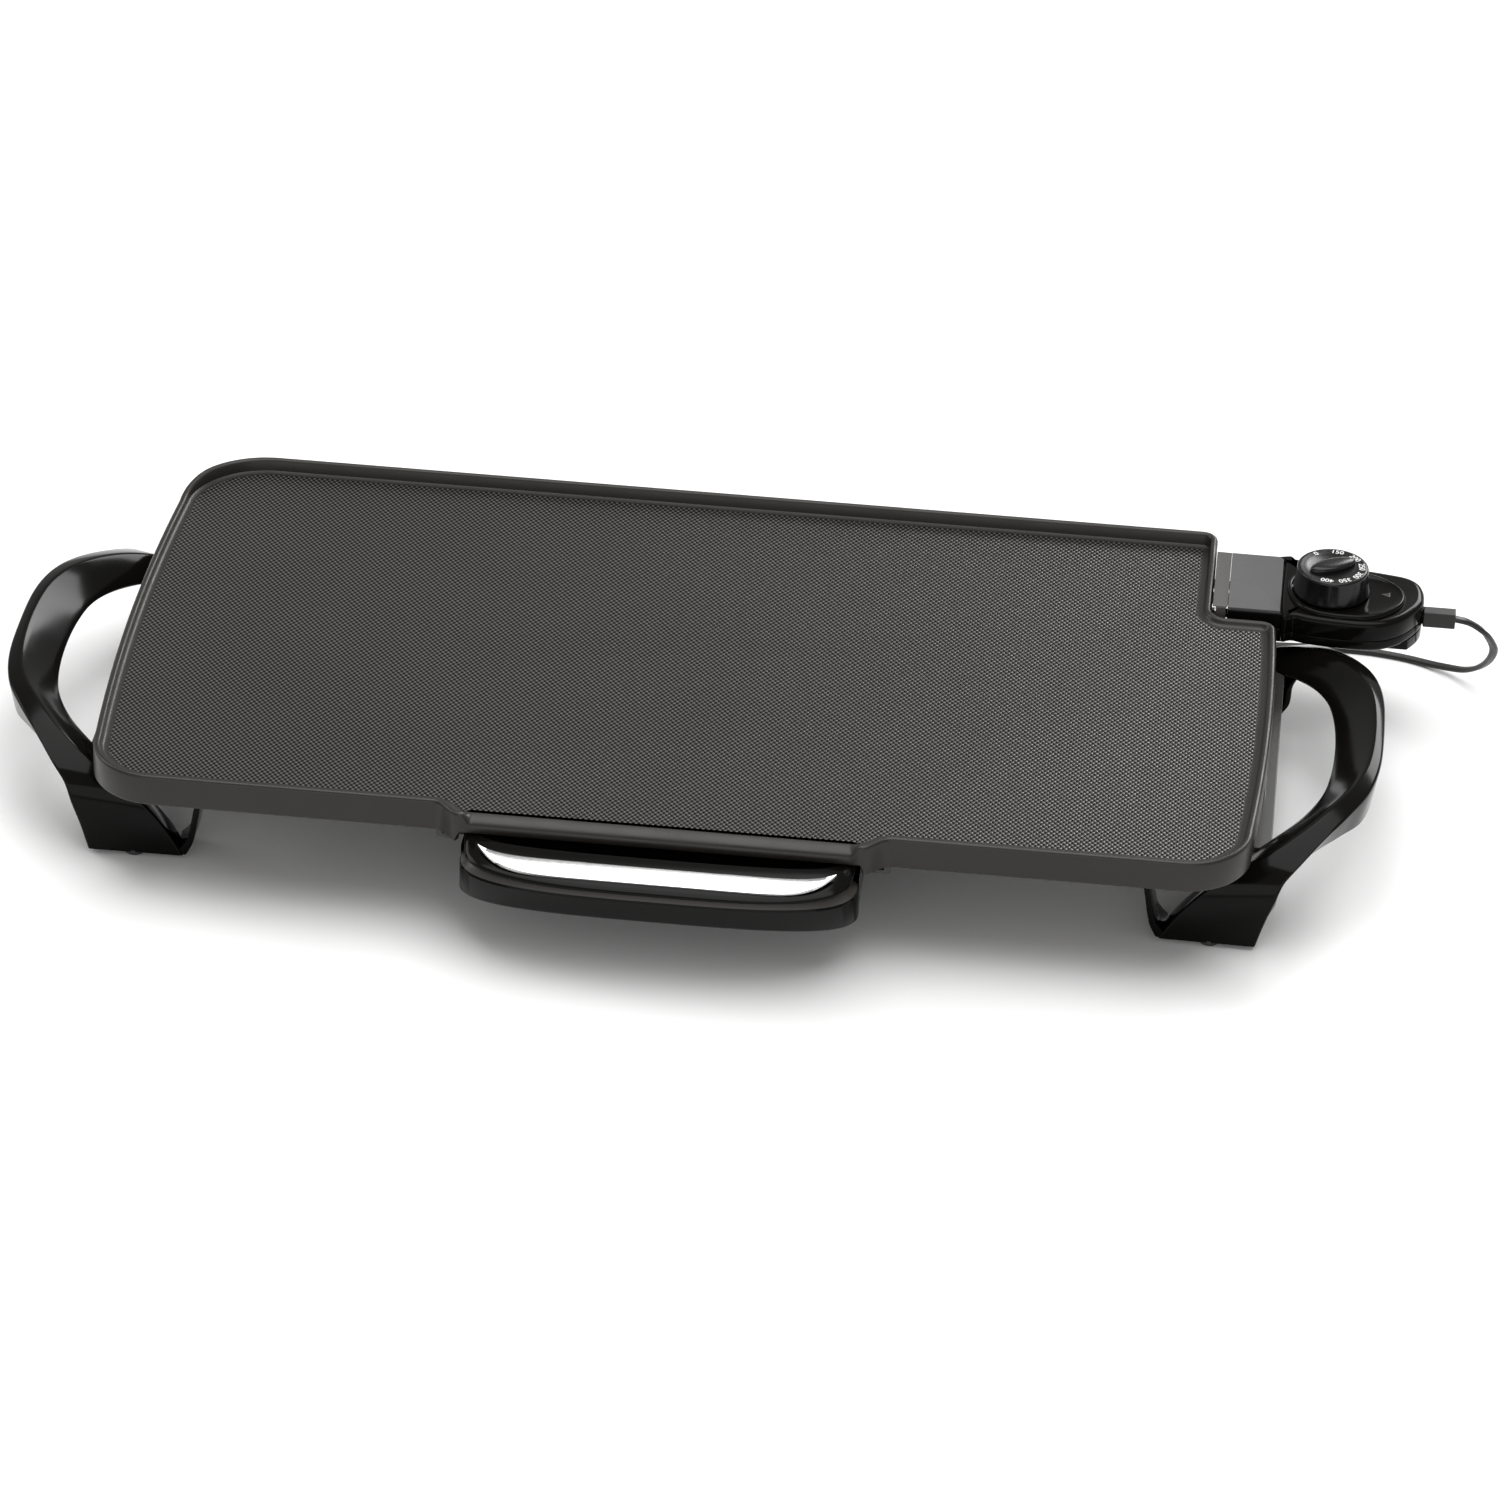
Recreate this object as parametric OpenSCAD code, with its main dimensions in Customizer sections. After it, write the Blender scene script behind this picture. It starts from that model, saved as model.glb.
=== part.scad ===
// Electric griddle with a slide-out drip tray, two pull-off handles and a plug-in heat control.
// The counter is Z = 0, the front of the griddle faces -Y, and the heat control is at the +X end.

/* [Plate] */
// Length across the rims at the middle of the ends
plate_l = 576; // [480:1:680]
// Depth from the front rim to the back rim, without the spout
plate_d = 312; // [290:1:380]
// Height of the rim above the counter
rim_z = 70.4; // [66:0.2:84]
// Height of the skirt, from the rim's top to its lower edge
skirt_h = 16.4; // [15:0.2:20]
// Depth of the cooking surface below the rim
pan_deep = 3; // [2:0.1:5]
// Thickness of the cast floor
floor_t = 5; // [4:0.1:6]
// Thickness of the skirt and the rim
wall_t = 3.6; // [3:0.1:5]
// Height of the back ledge above the rim
ledge_rise = 4; // [2:0.5:10]
// How far each end bows outwards in the middle
end_bow = 8; // [2:0.5:14]
// Radius of the back left corner
corner_back = 45; // [30:1:60]
// Radius of the two front corners
corner_front = 33; // [24:1:44]
// Length of the notch for the heat control
notch_l = 35; // [25:1:50]
// Depth of that notch, from the back rim
notch_d = 79; // [76:1:90]

/* [Spout and drip tray] */
// Width of the pour spout
spout_w = 194; // [160:1:240]
// How far the spout stands out from the front rim
spout_out = 10; // [6:0.5:16]
// Height of the tray's underside above the counter
tray_z = 28; // [24:0.5:32]
// Depth of the tray behind the spout
tray_run = 118; // [80:1:140]
// Wall of the tray
tray_wall = 2.4; // [1.8:0.1:3.2]
// Clearance between the tray and its rails
rail_gap = 0.4; // [0.3:0.05:0.8]

/* [Handles] */
// How far the grip's ridge stands out from the end of the plate
grip_out = 51; // [40:1:70]
// Height of the grip's ridge above the counter
grip_z = 64; // [60:0.5:74]
// Place of the handles' middle, behind the plate's middle
handle_y = -8; // [-14:1:-2]
// Wall of the handle moulding
shell_t = 3; // [2.4:0.1:4]
// Width of the bracket that the handle slides onto
bracket_w = 60; // [40:1:70]
// Clearance round that bracket
bracket_gap = 0.3; // [0.2:0.05:0.6]

/* [Heat control] */
// Radius of the dial at its top
dial_r = 18.3; // [15:0.1:21]
// Height of the dial
dial_h = 14; // [11:0.5:18]
// Radius of the two contact pins
pin_r = 2.4; // [2:0.05:2.8]
// Distance between the contact pins
pin_pitch = 28; // [24:0.5:32]
// Radius of the sensing probe
probe_r = 3.2; // [2.5:0.05:4]
// Length of the probe inside the plate
probe_l = 78; // [60:1:90]
// Radial clearance of the probe, the pins and the dial shaft
fit_gap = 0.06; // [0.03:0.01:0.09]
// Radius of the dial shaft
shaft_r = 3; // [2.5:0.1:4]

/* [Cord] */
// Width of the flat twin lead
cord_w = 4.6; // [4.2:0.1:5]
// Thickness of the flat twin lead
cord_t = 2.8; // [2.4:0.1:3.2]

/* [Hidden] */
$fn = 64;

// Heights
skirt_z = rim_z - skirt_h;
pan_z = rim_z - pan_deep;
under_z = pan_z - floor_t;
ledge_z = rim_z + ledge_rise;

// Plate outline
half_d = plate_d / 2;
notch_x = plate_l / 2 - notch_l;
notch_y = half_d - notch_d;
notch_r = 8;
arc_steps = 7;
lip_y = -half_d - spout_out;
lip_drop = 3.4;
lip_run = 16;
spout_curve = 14;
spout_open = spout_w / 2 - wall_t;

// Tray
tray_half = spout_w / 2;
tub_half = tray_half - 0.5;
tray_back = -half_d + tray_run - 8;
tray_top = skirt_z - 3.4;
tray_side_y = lip_y + 6;
flange_w = 10;
flange_t = 2;
rail_floor = 2;
rail_half = tray_half + flange_w + rail_gap;
rail_wall = 3;
rail_top = under_z - 6;
ledge_reach = 36.5;
ledge_in = 13.4;
ledge_rise_in = 5;
ledge_curve = 3.2;
ledge_stations = 24;

// Handles
foot_z = 2.5;
nub_r = 5.5;
bracket_t = 2;
bracket_z = skirt_z - 6;
bracket_in = plate_l / 2 - 66;
bracket_end = plate_l / 2 - 6;
bar_in = plate_l / 2 - 33;
bar_half = 84;
post_x = plate_l / 2 - 54;
post_y = bracket_w / 2 - 9;
post_r = 6;
screw_r = 2;
screw_hold = 8;
head_r = 3.8;
head_h = 2.2;

// Heating element
tube_r = 3.5;
tube_z = under_z - 1.8;
tube_bend = 28;

// Heat control
neck_y = half_d - 44.5;
neck_half = 28;
neck_x = notch_x + 8;
pin_z = tube_z;
pin_tip = notch_x + 27;
body_x = notch_x + 35;
dial_x = notch_x + 59.6;
dial_y = neck_y - 5;
ctl_bottom = pin_z - 10.6;
ctl_part = ctl_bottom + 12;
ctl_step = ctl_bottom + 5.8;
arch_top = ctl_bottom - 2;
step_in = 20;
step_x = body_x + 1.5;
neck_step_in = 22.3;
ctl_top = ctl_bottom + 22.4;
ctl_wall = 2.2;
tip_x = notch_x + 107.5;
relief_l = 16.5;
relief_w = 7;
relief_h = 8.5;
relief_y = neck_y - 4;
relief_z = ctl_part;
relief_x = tip_x + relief_l;
well_r = probe_r + fit_gap;
boss_r = probe_r + 3.2;
boss_l = probe_l + 4;

// Cord route in the heat control's own place, from the strain relief to the counter and to the coil
lead_route = [[0, 0, 0], [5, 0, -0.8], [10, 2, -4], [15.5, 4, -9], [19, 8, -15.5], [21.5, 13, -23.5],
    [21, 19, -32], [18.5, 26, -40.5], [14, 33, -48], [8, 40, -53.7], [0.5, 47, -57.3], [-8, 52.5, -59.4],
    [-17.5, 57, -60.3], [-28, 60, -60.5], [-40, 62, -60.5], [-52, 62.6, -60.5], [-65, 62.3, -60.5],
    [-80, 61.2, -60.5], [-95, 60, -60.5], [-110, 59.2, -60.5], [-125, 59, -60.5], [-140, 59, -60.5],
    [-155, 59, -60.5]];
coil_turns = 3;
coil_r = 25;
coil_pitch = cord_t + 0.1;
coil_x = relief_x - 155;
coil_y = relief_y + 59 + coil_r;
coil_h = (coil_turns + 1) * coil_pitch + 0.1;
tail_route = [[0, 0, 8.7], [-6, 0, 8.7], [-12, 0, 8.4], [-18, 0, 7.6], [-24, 0, 6.7], [-30, 0, 6.2],
    [-36, 0, 6.1]];
plug_l = 30;
plug_w = 22;
plug_h = 15;
plug_x = coil_x - 36;
plug_y = relief_y + 59;
plug_z = plug_h / 2 + 0.1;
blade_l = 17;
blade_gap = 12.7;

// Hand-chosen sections from the middle of the grip to the foot, for a plate_l / 2 of 288. Each holds
// inner edge, ridge, outer edge, outer hem and the middle of the hollow, as [out, along, height]
// where out is from the plate's end and height is a share of grip_z
sections = [
    [[31.8, 0, 0.78], [51, 0, 1], [56, 0, 0.975], [53, 0, 0.67], [42, 0, 0.66]],
    [[30.5, 25, 0.775], [49, 30, 0.995], [55, 31, 0.97], [52, 30, 0.66], [41, 27, 0.65]],
    [[26.5, 45, 0.765], [43.5, 50, 0.98], [50.5, 54, 0.95], [47.5, 52, 0.64], [36.5, 48, 0.63]],
    [[17.5, 63, 0.735], [34, 67, 0.945], [42, 72, 0.915], [39, 69, 0.59], [28, 64, 0.58]],
    [[5, 78, 0.69], [21, 84, 0.87], [30, 90, 0.835], [27.5, 85, 0.52], [16, 77, 0.5]],
    [[-8, 88, 0.6], [5, 97.5, 0.76], [19, 105, 0.73], [18.5, 95, 0.42], [4, 85, 0.4]],
    [[-21, 94.5, 0.48], [-11, 104, 0.64], [12, 111, 0.62], [12, 96, 0.34], [-6, 88, 0.32]],
    [[-32, 97.5, 0.34], [-24, 108.5, 0.5], [8, 113.5, 0.46], [8.5, 95, 0.24], [-14, 89, 0.24]],
    [[-39.5, 98.5, 0.2], [-37, 111, 0.29], [4, 113.5, 0.27], [5, 94, 0.15], [-19, 90, 0.15]],
    [[-45.5, 99, 0.04], [-47, 112, 0.04], [0.3, 112.6, 0.04], [1, 93, 0.04], [-23, 91, 0.04]]];
section_steps = 3;
grip_scale = grip_out / sections[0][1][0];

// The frame's origin: the middle of the object's box without its cord, on the counter
x_low = -plate_l / 2 - sections[0][2][0] * grip_scale;
x_high = max(relief_x, -x_low);
y_low = tray_side_y - ledge_reach;
y_high = half_d;
origin_x = (x_low + x_high) / 2;
origin_y = (y_low + y_high) / 2;

// ---------- small helpers ----------

function arc(c, r, from, to, n) =
    [for (k = [0 : n]) let (a = from + (to - from) * k / n) [c[0] + r * cos(a), c[1] + r * sin(a)]];

function unit(v) = v / norm(v);

// x of the bowed end at a given y
function end_x(y) = plate_l / 2 - end_bow * pow(y / half_d, 2);

// The spout's left flank: an S from the front rim out to the lip, moved inwards by inset
function flare(inset) = [for (k = [0 : arc_steps]) let (s = k / arc_steps)
    [-spout_w / 2 - spout_curve * (1 - s) + inset * s,
     -half_d + inset - spout_out * (1 - cos(180 * s)) / 2]];

function back_list(points) = [for (k = [len(points) - 1 : -1 : 0]) points[k]];

function flip_x(points) = [for (p = points) [-p[0], p[1]]];

// Plate outline, moved inwards by inset, without the spout
function rim_points(inset) =
    let (lo = -half_d + inset,
         hi = half_d - inset,
         rf = corner_front - inset,
         rb = corner_back - inset,
         rs = max(notch_r - inset, 1.5),
         yf = lo + rf,
         yb = hi - rb,
         yn = notch_y - inset)
    concat(
        arc([end_x(yf) - inset - rf, yf], rf, -90, 0, arc_steps),
        [for (k = [1 : 5]) let (y = yf + (yn - rs - yf) * k / 6) [end_x(y) - inset, y]],
        arc([end_x(yn - rs) - inset - rs, yn - rs], rs, 0, 90, arc_steps),
        arc([notch_x + notch_r, notch_y + notch_r], notch_r + inset, 270, 180, arc_steps),
        arc([notch_x - inset - rs, hi - rs], rs, 0, 90, arc_steps),
        arc([-end_x(yb) + inset + rb, yb], rb, 90, 180, arc_steps),
        [for (k = [1 : 6]) let (y = yb + (yf - yb) * k / 7) [-end_x(y) + inset, y]],
        arc([-end_x(yf) + inset + rf, yf], rf, 180, 270, arc_steps));

module rim_outline(inset) polygon(rim_points(inset));

// The part of the outline that stands out in front, as a tongue that overlaps the plate
module spout_outline(inset) {
    left = flare(inset);
    polygon(concat([[-spout_w / 2 - spout_curve, 0]], left, back_list(flip_x(left)),
        [[spout_w / 2 + spout_curve, 0]]));
}

// Solid lofted through a list of closed rings with equal numbers of points. A ring that isn't convex
// also needs its end split into convex faces
module loft(rings, split = []) {
    n = len(rings[0]);
    m = len(rings);
    ends = len(split) > 0 ? split : [[for (k = [0 : n - 1]) k]];
    polyhedron(
        points = [for (ring = rings) each ring],
        faces = concat(
            ends,
            [for (f = ends) [for (k = [len(f) - 1 : -1 : 0]) (m - 1) * n + f[k]]],
            [for (j = [0 : m - 2]) for (k = [0 : n - 1]) let (a = j * n + k, b = j * n + (k + 1) % n)
                [a, a + n, b]],
            [for (j = [0 : m - 2]) for (k = [0 : n - 1]) let (a = j * n + k, b = j * n + (k + 1) % n)
                [b, a + n, b + n]]));
}

module in_frame() translate([-origin_x, -origin_y, 0]) children();

module rod_x(x0, x1, y, z, r) translate([x0, y, z]) rotate([0, 90, 0]) cylinder(r = r, h = x1 - x0);

module box(lo, hi) translate(lo) cube([hi[0] - lo[0], hi[1] - lo[1], hi[2] - lo[2]]);

// A screw that points up, with its head's top at z
module screw_up(x, y, z, length) translate([x, y, z]) {
    translate([0, 0, -1]) cylinder(r = screw_r, h = length + 1);
    translate([0, 0, -head_h]) difference() {
        cylinder(r = head_r, h = head_h);
        for (a = [0, 90]) rotate([0, 0, a]) translate([-2, -0.4, -0.1]) cube([4, 0.8, 0.9]);
    }
}

// ---------- plate ----------

// Everything in front of the ramp and above the rim is cut off the tall ring, which leaves the back ledge
module ledge_cut() {
    ramp = 34;
    translate([-plate_l, 0, 0]) rotate([90, 0, 90]) linear_extrude(height = 2 * plate_l)
        polygon([[-plate_d, rim_z], [half_d - ramp - 14, rim_z], [half_d - 14, ledge_z],
            [plate_d, ledge_z], [plate_d, ledge_z + 20], [-plate_d, ledge_z + 20]]);
}

module plate_body() difference() {
    union() {
        translate([0, 0, skirt_z]) linear_extrude(height = ledge_z - skirt_z) rim_outline(0);
        translate([0, 0, skirt_z]) linear_extrude(height = rim_z - skirt_z) spout_outline(0);
    }
    ledge_cut();
    translate([0, 0, pan_z]) linear_extrude(height = 30) rim_outline(wall_t);
    box([-spout_open, lip_y - 1, pan_z], [spout_open, 0, ledge_z]);
    translate([-spout_open, 0, 0]) rotate([90, 0, 90]) linear_extrude(height = 2 * spout_open)
        polygon([[lip_y + lip_run, pan_z + 0.01], [lip_y - 1, pan_z - lip_drop], [lip_y - 1, pan_z + 0.01]]);
    translate([0, 0, skirt_z - 1]) linear_extrude(height = under_z - skirt_z + 1) rim_outline(wall_t);
    box([-spout_w / 2 - 0.5, lip_y - 1, skirt_z - 1],
        [spout_w / 2 + 0.5, -half_d + 20, under_z - lip_drop + 0.6]);
    box([-spout_w / 2 + 3, lip_y + 4, skirt_z], [spout_w / 2 - 3, 0, under_z]);
    box([notch_x - 8, neck_y - window_half, skirt_z - 1],
        [notch_x + 1, neck_y + window_half, pin_z + pin_r + 1]);
}

module griddle_plate() color([0.24, 0.23, 0.22]) in_frame() difference() {
    union() {
        plate_body();
        rod_x(notch_x - boss_l, notch_x - 2, neck_y, pin_z, boss_r);
        box([notch_x - boss_l, neck_y - boss_r, pin_z], [notch_x - 2, neck_y + boss_r, under_z + 1]);
        for (sx = [-1, 1], sy = [-1, 1])
            translate([sx * post_x, handle_y + sy * post_y, bracket_z + bracket_t])
                cylinder(r = post_r, h = under_z - bracket_z - bracket_t + 1);
        for (sx = [-1, 1], y = rail_posts)
            translate([sx * (rail_half + 1), y, rail_top]) cylinder(r = 5, h = under_z - rail_top + 1);
        for (sy = [-1, 1]) translate([notch_x - 12, neck_y + sy * guard_post, guard_top])
            cylinder(r = 3.8, h = under_z - guard_top + 1);
    }
    rod_x(notch_x - probe_l - 1, notch_x + 1, neck_y, pin_z, well_r);
    for (sx = [-1, 1], sy = [-1, 1])
        translate([sx * post_x, handle_y + sy * post_y, bracket_z]) cylinder(r = screw_r, h = screw_hold + 2);
    for (sx = [-1, 1], y = rail_posts)
        translate([sx * (rail_half + 1), y, rail_top - 1]) cylinder(r = screw_r, h = 8);
    for (sy = [-1, 1]) translate([notch_x - 12, neck_y + sy * guard_post, guard_top - 1])
        cylinder(r = screw_r, h = 6);
}

rail_posts = [-half_d + 22, -half_d + 90];
guard_top = pin_z - 4.4;
guard_post = 23.5;
guard_ear = 3;
window_half = neck_half - 1.2;

// ---------- heating element: one tube bent into two loops ----------

module bend(x, y, r, from) translate([x, y, tube_z]) rotate([0, 0, from])
    rotate_extrude(angle = 90) translate([r, 0]) circle(r = tube_r);

module run_x(x0, x1, y) rod_x(x0, x1, y, tube_z, tube_r);

module run_y(x, y0, y1) translate([x, y0, tube_z]) rotate([-90, 0, 0]) cylinder(r = tube_r, h = y1 - y0);

module heating_element() color([0.55, 0.53, 0.5]) in_frame() {
    ya = neck_y + pin_pitch / 2;
    yb = neck_y - pin_pitch / 2;
    yc = yb - 42;
    yf = -half_d + 42;
    xe = plate_l / 2 - 42;
    r = tube_bend;
    cold = notch_x - 14;
    union() {
        run_x(-xe + r, cold, ya);
        bend(-xe + r, ya - r, r, 90);
        run_y(-xe, yf + r, ya - r);
        bend(-xe + r, yf + r, r, 180);
        run_x(-xe + r, xe - r, yf);
        bend(xe - r, yf + r, r, 270);
        run_y(xe, yf + r, yc - r);
        bend(xe - r, yc - r, r, 0);
        run_x(-xe + 100, xe - r, yc);
        bend(-xe + 100, yc + 21, 21, 180);
        bend(-xe + 100, yc + 21, 21, 90);
        run_x(-xe + 100, cold, yb);
    }
}

// Ceramic bushes that carry the pins into the element's cold ends
module terminal_bush() color([0.86, 0.84, 0.78]) in_frame() for (s = [-1, 1])
    rod_x(notch_x - 14, notch_x - 6, neck_y + s * pin_pitch / 2, pin_z, tube_r + 0.6);

module terminal_pins() color([0.78, 0.77, 0.73]) in_frame() for (s = [-1, 1])
    translate([notch_x - 6, neck_y + s * pin_pitch / 2, pin_z]) rotate([0, 90, 0])
        rotate_extrude() polygon([[0, 0], [pin_r, 0], [pin_r, pin_tip - notch_x + 4.5],
            [pin_r - 1.2, pin_tip - notch_x + 6], [0, pin_tip - notch_x + 6]]);

// Sheet metal guard: a collar in the notch, with two ears screwed up to the plate
module terminal_guard() color([0.7, 0.7, 0.69]) in_frame() difference() {
    union() {
        difference() {
            box([notch_x + 2, neck_y - neck_half, ctl_bottom + 1],
                [neck_x - 1, neck_y + neck_half, ctl_top - 0.6]);
            box([notch_x + 1, neck_y - neck_half + 1.6, ctl_bottom + 2.6],
                [neck_x, neck_y + neck_half - 1.6, ctl_top - 2.2]);
        }
        for (s = [-1, 1]) translate([0, neck_y, guard_top - 1.2]) mirror([0, s < 0 ? 1 : 0, 0]) {
            box([notch_x - 17, guard_post - guard_ear, 0], [notch_x + 5, guard_post + guard_ear, 1.2]);
            box([notch_x + 2, guard_post - guard_ear, 0], [notch_x + 5, neck_half - 0.5, 1.2]);
        }
    }
    for (s = [-1, 1]) translate([notch_x - 12, neck_y + s * guard_post, guard_top - 5])
        cylinder(r = screw_r + 0.3, h = 10);
}

module guard_screws() color([0.75, 0.75, 0.76]) in_frame() for (s = [-1, 1])
    screw_up(notch_x - 12, neck_y + s * guard_post, guard_top - 1.2, 5.5);

// ---------- brackets that the handles slide onto ----------

module bracket_at(sx) mirror([sx < 0 ? 1 : 0, 0, 0]) difference() {
    union() {
        box([bracket_in, handle_y - bracket_w / 2, bracket_z],
            [bracket_end, handle_y + bracket_w / 2, bracket_z + bracket_t]);
        box([bracket_in, handle_y - bracket_w / 2, bracket_z],
            [bracket_in + 2, handle_y + bracket_w / 2, bracket_z + 9]);
    }
    for (sy = [-1, 1]) translate([post_x, handle_y + sy * post_y, bracket_z - 1])
        cylinder(r = screw_r + 0.3, h = bracket_t + 2);
}

module left_bracket() color([0.72, 0.72, 0.72]) in_frame() bracket_at(-1);

module right_bracket() color([0.72, 0.72, 0.72]) in_frame() bracket_at(1);

module bracket_screws() color([0.75, 0.75, 0.76]) in_frame() for (sx = [-1, 1], sy = [-1, 1])
    screw_up(sx * post_x, handle_y + sy * post_y, bracket_z, screw_hold);

// ---------- tray rails, tray and trim ----------

module tray_rails() color([0.05, 0.05, 0.05]) in_frame() for (sx = [-1, 1]) mirror([sx < 0 ? 1 : 0, 0, 0])
    difference() {
        union() {
            box([rail_half, -half_d + 6, tray_top - flange_t - rail_gap - rail_floor],
                [rail_half + rail_wall, tray_back + 2, rail_top - 2]);
            box([rail_half - 6, -half_d + 6, tray_top - flange_t - rail_gap - rail_floor],
                [rail_half + rail_wall, tray_back + 2, tray_top - flange_t - rail_gap]);
            box([rail_half - 5, -half_d + 6, rail_top - 3.4], [rail_half + 7, tray_back + 2, rail_top]);
        }
        for (y = rail_posts) translate([rail_half + 1, y, rail_top - 4]) cylinder(r = screw_r + 0.3, h = 10);
        for (y = rail_posts) translate([rail_half + 1, y, skirt_z - 30])
            cylinder(r = head_r + 0.5, h = rail_top - 3.4 - skirt_z + 30);
    }

module rail_screws() color([0.75, 0.75, 0.76]) in_frame() for (sx = [-1, 1], y = rail_posts)
    screw_up(sx * (rail_half + 1), y, rail_top - 3.4, 6.5);

// A point of the tray's curved front: s runs from -1 at the left to 1 at the right, and a level is
// its half width, how far it stands out at the middle, and its height
function front_point(s, level) =
    let (a = 90 * s, k = 2 / ledge_curve)
    [level[0] * sign(s) * pow(abs(sin(a)), k), tray_side_y - level[1] * pow(max(cos(a), 0), k), level[2]];

function front_curve(level) = [for (j = [0 : ledge_stations]) front_point(2 * j / ledge_stations - 1, level)];

// The section of the tray's front, round from its outer foot: face, finger groove, rim, ledge, inside
front_levels = [
    [tray_half, 22.5, tray_z],
    [tray_half - 1, 32, skirt_z - 8],
    [tray_half - 6, 27.5, skirt_z - 7.4],
    [tray_half - 6, 27.5, skirt_z - 2.6],
    [tray_half - 3.4, ledge_reach, skirt_z - 2.2],
    [tray_half - 3.4, ledge_reach, skirt_z],
    [tray_half - 9, ledge_in, skirt_z + ledge_rise_in],
    [tray_half - 9.6, ledge_in, skirt_z + 2.6],
    [tray_half - 10.8, 23, skirt_z],
    [tray_half - 10, 23, skirt_z - 10],
    [tray_half - 4, 19, tray_z]];

front_split = [[0, 1, 9, 10], [1, 2, 9], [2, 3, 8, 9], [3, 4, 5, 8], [5, 6, 7], [5, 7, 8]];

function ledge_height(y) =
    skirt_z + ledge_rise_in * (y - tray_side_y + ledge_reach) / (ledge_reach - ledge_in);

module drip_tray() color([0.03, 0.03, 0.03]) in_frame() union() {
    loft([for (j = [0 : ledge_stations]) let (s = 1 - 2 * j / ledge_stations)
        [for (level = front_levels) front_point(s, level)]], front_split);
    translate([0, 0, tray_z]) linear_extrude(height = tray_wall)
        polygon([for (p = front_curve([tray_half - 2, 20, 0])) [p[0], p[1]]]);
    difference() {
        box([-tub_half, tray_side_y - 2, tray_z], [tub_half, tray_back, tray_top]);
        box([-tub_half + tray_wall, tray_side_y - 3, tray_z + tray_wall],
            [tub_half - tray_wall, tray_back - tray_wall, tray_top + 1]);
    }
    for (sx = [-1, 1]) box([sx * tray_half - (sx < 0 ? flange_w : 1), -half_d + 6, tray_top - flange_t],
        [sx * tray_half + (sx < 0 ? 1 : flange_w), tray_back, tray_top]);
}

// Polished crescent that lies in the ledge
module tray_trim() color([0.9, 0.9, 0.9]) in_frame() {
    half = tray_half - 11;
    back = tray_side_y - 19;
    front = tray_side_y - 31.6;
    loft([for (j = [0 : ledge_stations]) let (x = half * sin(90 - 180 * j / ledge_stations),
        yb = back + 5.4 * pow(abs(x) / half, 9),
        yf = front + 17 * pow(abs(x) / half, 7))
        [[x, yb, ledge_height(yb) - 0.5], [x, yf, ledge_height(yf) - 0.5],
         [x, yf, ledge_height(yf) + 0.4], [x, yb, ledge_height(yb) + 0.4]]]);
}

// ---------- handles: a hollow ribbon from the front foot over the grip to the back foot ----------

// Catmull-Rom value between sections, mirrored beyond the grip's middle
function section_at(i) = i < 0
    ? [for (p = sections[-i]) [p[0], -p[1], p[2]]]
    : i >= len(sections) ? 2 * sections[len(sections) - 1] - sections[2 * len(sections) - 2 - i] : sections[i];

function blend(a, b, c, d, t) =
    0.5 * (2 * b + (c - a) * t + (2 * a - 5 * b + 4 * c - d) * t * t + (3 * b - a - 3 * c + d) * t * t * t);

function section_between(u) =
    let (i = min(floor(u), len(sections) - 2), t = u - i)
    blend(section_at(i - 1), section_at(i), section_at(i + 1), section_at(i + 2), t);

// A closed ring of the hollow shell, side is -1 at the front and 1 at the back
function ribbon_ring(u, side) =
    let (q = [for (p = section_between(u)) [plate_l / 2 + p[0] * (p[0] > 0 ? grip_scale : 1),
             handle_y + side * p[1], grip_z * p[2]]],
         m = q[4])
    concat([for (k = [0 : 3]) q[k]],
        [for (k = [3 : -1 : 0]) q[k] + (k == 1 || k == 2 ? 1.3 : 1) * shell_t * unit(m - q[k])]);

module ribbon() {
    last = (len(sections) - 1) * section_steps;
    loft(concat(
        [for (k = [last : -1 : 1]) ribbon_ring(k / section_steps, -1)],
        [for (k = [0 : last]) ribbon_ring(k / section_steps, 1)]),
        [[0, 1, 6, 7], [1, 2, 5, 6], [2, 3, 4, 5]]);
}

// Inner wall of a leg: a thin arch from the foot up to the plate
module leg_arch(side) {
    x = plate_l / 2;
    translate([0, handle_y + side * 99 + (side < 0 ? 8 : 12), 0]) rotate([90, 0, 0]) linear_extrude(height = 20)
        polygon([[x - 42, foot_z], [x - 49.5, foot_z], [x - 52, 12], [x - 55.5, 30], [x - 58.2, arch_top],
            [x - 55.6, arch_top], [x - 53, 30], [x - 49.6, 13], [x - 46.6, foot_z + 4], [x - 42, foot_z + 3]]);
}

module handle_side() color([0.03, 0.03, 0.03]) union() {
    ribbon();
    for (side = [-1, 1]) leg_arch(side);
}

// Bar beside the plate, with the socket that takes the bracket
module crossbar_side() color([0.06, 0.06, 0.06]) {
    x = plate_l / 2;
    difference() {
        union() {
            box([x - 5, handle_y - bar_half, skirt_z - 18], [x + 4.5, handle_y + bar_half, skirt_z - 12]);
            box([bar_in, handle_y - bracket_w / 2 - 9, bracket_z - 5],
                [x - 1, handle_y + bracket_w / 2 + 9, bracket_z + bracket_t + 3.4]);
            box([x - 6, handle_y - bracket_w / 2 - 9, skirt_z - 18],
                [x - 1, handle_y + bracket_w / 2 + 9, skirt_z - 8]);
        }
        box([bar_in - 1, handle_y - bracket_w / 2 - bracket_gap, bracket_z - bracket_gap],
            [bracket_end + bracket_gap, handle_y + bracket_w / 2 + bracket_gap,
                bracket_z + bracket_t + bracket_gap]);
    }
}

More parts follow.
